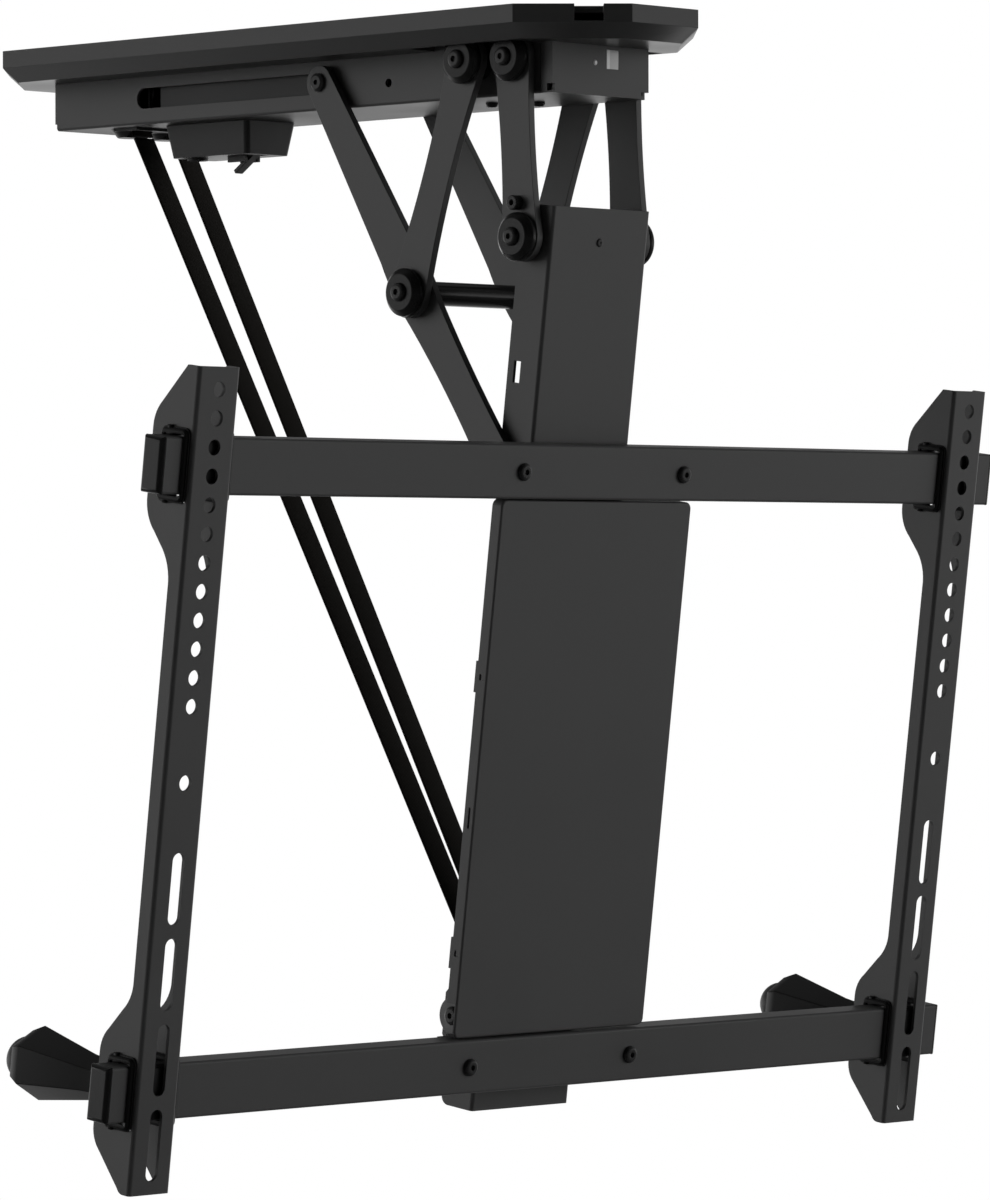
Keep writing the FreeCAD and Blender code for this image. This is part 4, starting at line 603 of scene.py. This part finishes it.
for side, sign in SIDES:
    glides = bmesh.new()
    for level in (UPPER_RAIL, LOWER_RAIL):
        to_place = crossing(sign * TV_RAIL_ACROSS, level)
        for start, end, sheet_face, outward in COLLARS:
            collar(glides, start, end, sheet_face, outward, to_place)
            tab = sorted(sheet_face + outward * reach for reach in TAB_OUT)
            blocks_above_and_below(glides, tab, TAB_BACK, TAB_RISE, TAB_SOFT, to_place)
            runner = (start + RUNNER_INSET, end - RUNNER_INSET)
            blocks_above_and_below(glides, runner, RUNNER_BACK, RUNNER_RISE, RUNNER_SOFT, to_place)
        # The dark sheet over the horizontal rail's front face is painted shade
        soft_block(glides, SHADE_SHEET_LOW, SHADE_SHEET_HIGH, SHADE_SHEET_SOFT, to_place)
    new_piece(f"glide_clips_and_shade_sheet_{side}", finish_mesh(glides, f"glide_clips_and_shade_sheet_{side}"), glide_plastic,
              f"{side}_rail", [f"{side}_glides"])


# Rubber domes on the feet

FOOT_TIP, DOME_RADIUS, DOME_RISE = 101.4, 12.8, 12.5
DOME_ROWS, DOME_SEGMENTS = 12, 64

for side, sign in SIDES:
    dome = bmesh.new()
    loops = []
    for row in range(DOME_ROWS):
        angle = math.pi / 2 * row / DOME_ROWS
        radius = DOME_RADIUS * math.cos(angle)
        back = FOOT_TIP + DOME_RISE * math.sin(angle)
        turns = (2 * math.pi * step / DOME_SEGMENTS for step in range(DOME_SEGMENTS))
        loops.append([panel_point(sign * TV_RAIL_ACROSS + radius * math.cos(turn), back,
                                  LOWER_RAIL + radius * math.sin(turn)) for turn in turns])
    skin_loops(dome, loops)
    new_piece(f"rubber_dome_{side}", finish_mesh(dome, f"rubber_dome_{side}", 60), rubber,
              f"{side}_rail", [f"{side}_foot_pad"])


# Webbing: lifting straps, the loops round their anchor, the turns on the drum and the leads to it

STRAP_WIDTH, STRAP_SHEET = 15.8 * MM, 1.6 * MM
STRAP_TOP, STRAP_LOW = 15.0 * MM, 8.0 * MM
GUIDE = Vector((0, 150.0, -51.0)) * MM
TOP_GAP, LEAD_GAP, LEAD_LENGTH = 1.1 * MM, 0.3 * MM, 21 * MM
DRUM = Vector((0, 148.6, -25.0)) * MM
DRUM_TURNS, DRUM_START = 2.75, math.radians(60)
DRUM_CORE, DRUM_WOUND = 8.9 * MM, 4.25 * MM
ANCHOR = panel_point(0, 44, -348.5)
LOOP_MIDDLE = 5 * MM + STRAP_SHEET / 2
LOOP_TURN = math.radians(262)
STRAP_STEPS, LOOP_STEPS, DRUM_STEPS, LEAD_STEPS = 60, 40, 110, 8
# The webbing's outline, as shares of its width and thickness
SECTION = [(-0.5, 0.0), (-0.485, 0.36), (-0.44, 0.5), (0.44, 0.5), (0.485, 0.36), (0.5, 0.0),
           (0.485, -0.36), (0.44, -0.5), (-0.44, -0.5), (-0.485, -0.36)]


def webbing_mesh(name, strips):
    """Webbing strips along centre points, with rounded selvedges and a lengthwise UV map in metres."""
    mesh = bpy.data.meshes.new(name)
    vertices, faces, places = [], [], []
    count = len(SECTION)
    for centres, across, normals in strips:
        base = len(vertices)
        travelled = 0.0
        for index, centre in enumerate(centres):
            if index:
                travelled += (centre - centres[index - 1]).length
            for u, v in SECTION:
                vertices.append(centre + across[index] * (u * STRAP_WIDTH) + normals[index] * (v * STRAP_SHEET))
                places.append((u * STRAP_WIDTH, travelled))
        for row in range(len(centres) - 1):
            for step in range(count):
                following = (step + 1) % count
                low, high = base + row * count, base + (row + 1) * count
                faces.append((low + step, low + following, high + following, high + step))
        last = base + (len(centres) - 1) * count
        faces.append(tuple(reversed(range(base, base + count))))
        faces.append(tuple(range(last, last + count)))
    mesh.from_pydata(vertices, [], faces)
    layer = mesh.uv_layers.new(name="strap")
    for polygon in mesh.polygons:
        polygon.use_smooth = len(polygon.vertices) == 4
        for corner in polygon.loop_indices:
            layer.data[corner].uv = places[mesh.loops[corner].vertex_index]
    return mesh


def straight_strip(start, end, face, count):
    centres = [start.lerp(end, step / (count - 1)) for step in range(count)]
    across = (end - start).normalized().cross(face).normalized()
    return centres, [across] * count, [face] * count


def arc_strip(centre, turns, radii):
    """A strip round an axle that runs across, through angles and radii given point by point."""
    centres, normals = [], []
    for turn, radius in zip(turns, radii):
        outward = Vector((0, math.cos(turn), math.sin(turn)))
        centres.append(centre + outward * radius)
        normals.append(outward)
    return centres, [Vector((1, 0, 0))] * len(centres), normals


# The straps run from the guide to the front of the loops round the anchor axle
span = ANCHOR - GUIDE
lean = math.atan2(span.y, -span.z) - math.asin(LOOP_MIDDLE / span.length)
strap_down = Vector((0, math.sin(lean), -math.cos(lean)))
strap_face = Vector((0, math.cos(lean), math.sin(lean)))
strap_reach = math.sqrt(span.length ** 2 - LOOP_MIDDLE ** 2)
tangent = math.atan2(-strap_face.z, -strap_face.y)

loops, turns, leads = [], [], []
for side, sign in SIDES:
    at_top, at_low = Vector((sign * STRAP_TOP, 0, 0)), Vector((sign * STRAP_LOW, 0, 0))
    top = GUIDE + strap_down * TOP_GAP + at_top
    low = GUIDE + strap_down * strap_reach + at_low
    mesh = webbing_mesh(f"lifting_strap_{side}", [straight_strip(top, low, strap_face, STRAP_STEPS)])
    strap = new_piece(f"lifting_strap_{side}", mesh, webbing, "lift_straps", [f"strap_{side}"])
    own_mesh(strap)

    angles = [tangent + LOOP_TURN * step / LOOP_STEPS for step in range(LOOP_STEPS + 1)]
    loops.append(arc_strip(ANCHOR + at_low, angles, [LOOP_MIDDLE] * (LOOP_STEPS + 1)))
    angles = [2 * math.pi * DRUM_TURNS * step / DRUM_STEPS + DRUM_START for step in range(DRUM_STEPS + 1)]
    radii = [DRUM_CORE + DRUM_WOUND * step / DRUM_STEPS for step in range(DRUM_STEPS + 1)]
    turns.append(arc_strip(DRUM + at_top, angles, radii))
    start = GUIDE - strap_down * LEAD_GAP + at_top
    leads.append(straight_strip(start, start - strap_down * LEAD_LENGTH, strap_face, LEAD_STEPS))
new_piece("anchor_loops", webbing_mesh("anchor_loops", loops), webbing, "column", ["strap_loops"])
new_piece("drum_turns", webbing_mesh("drum_turns", turns), webbing, "drum", ["strap_windings"])
new_piece("drum_leads", webbing_mesh("drum_leads", leads), webbing, "ceiling_unit", ["strap_leads"])
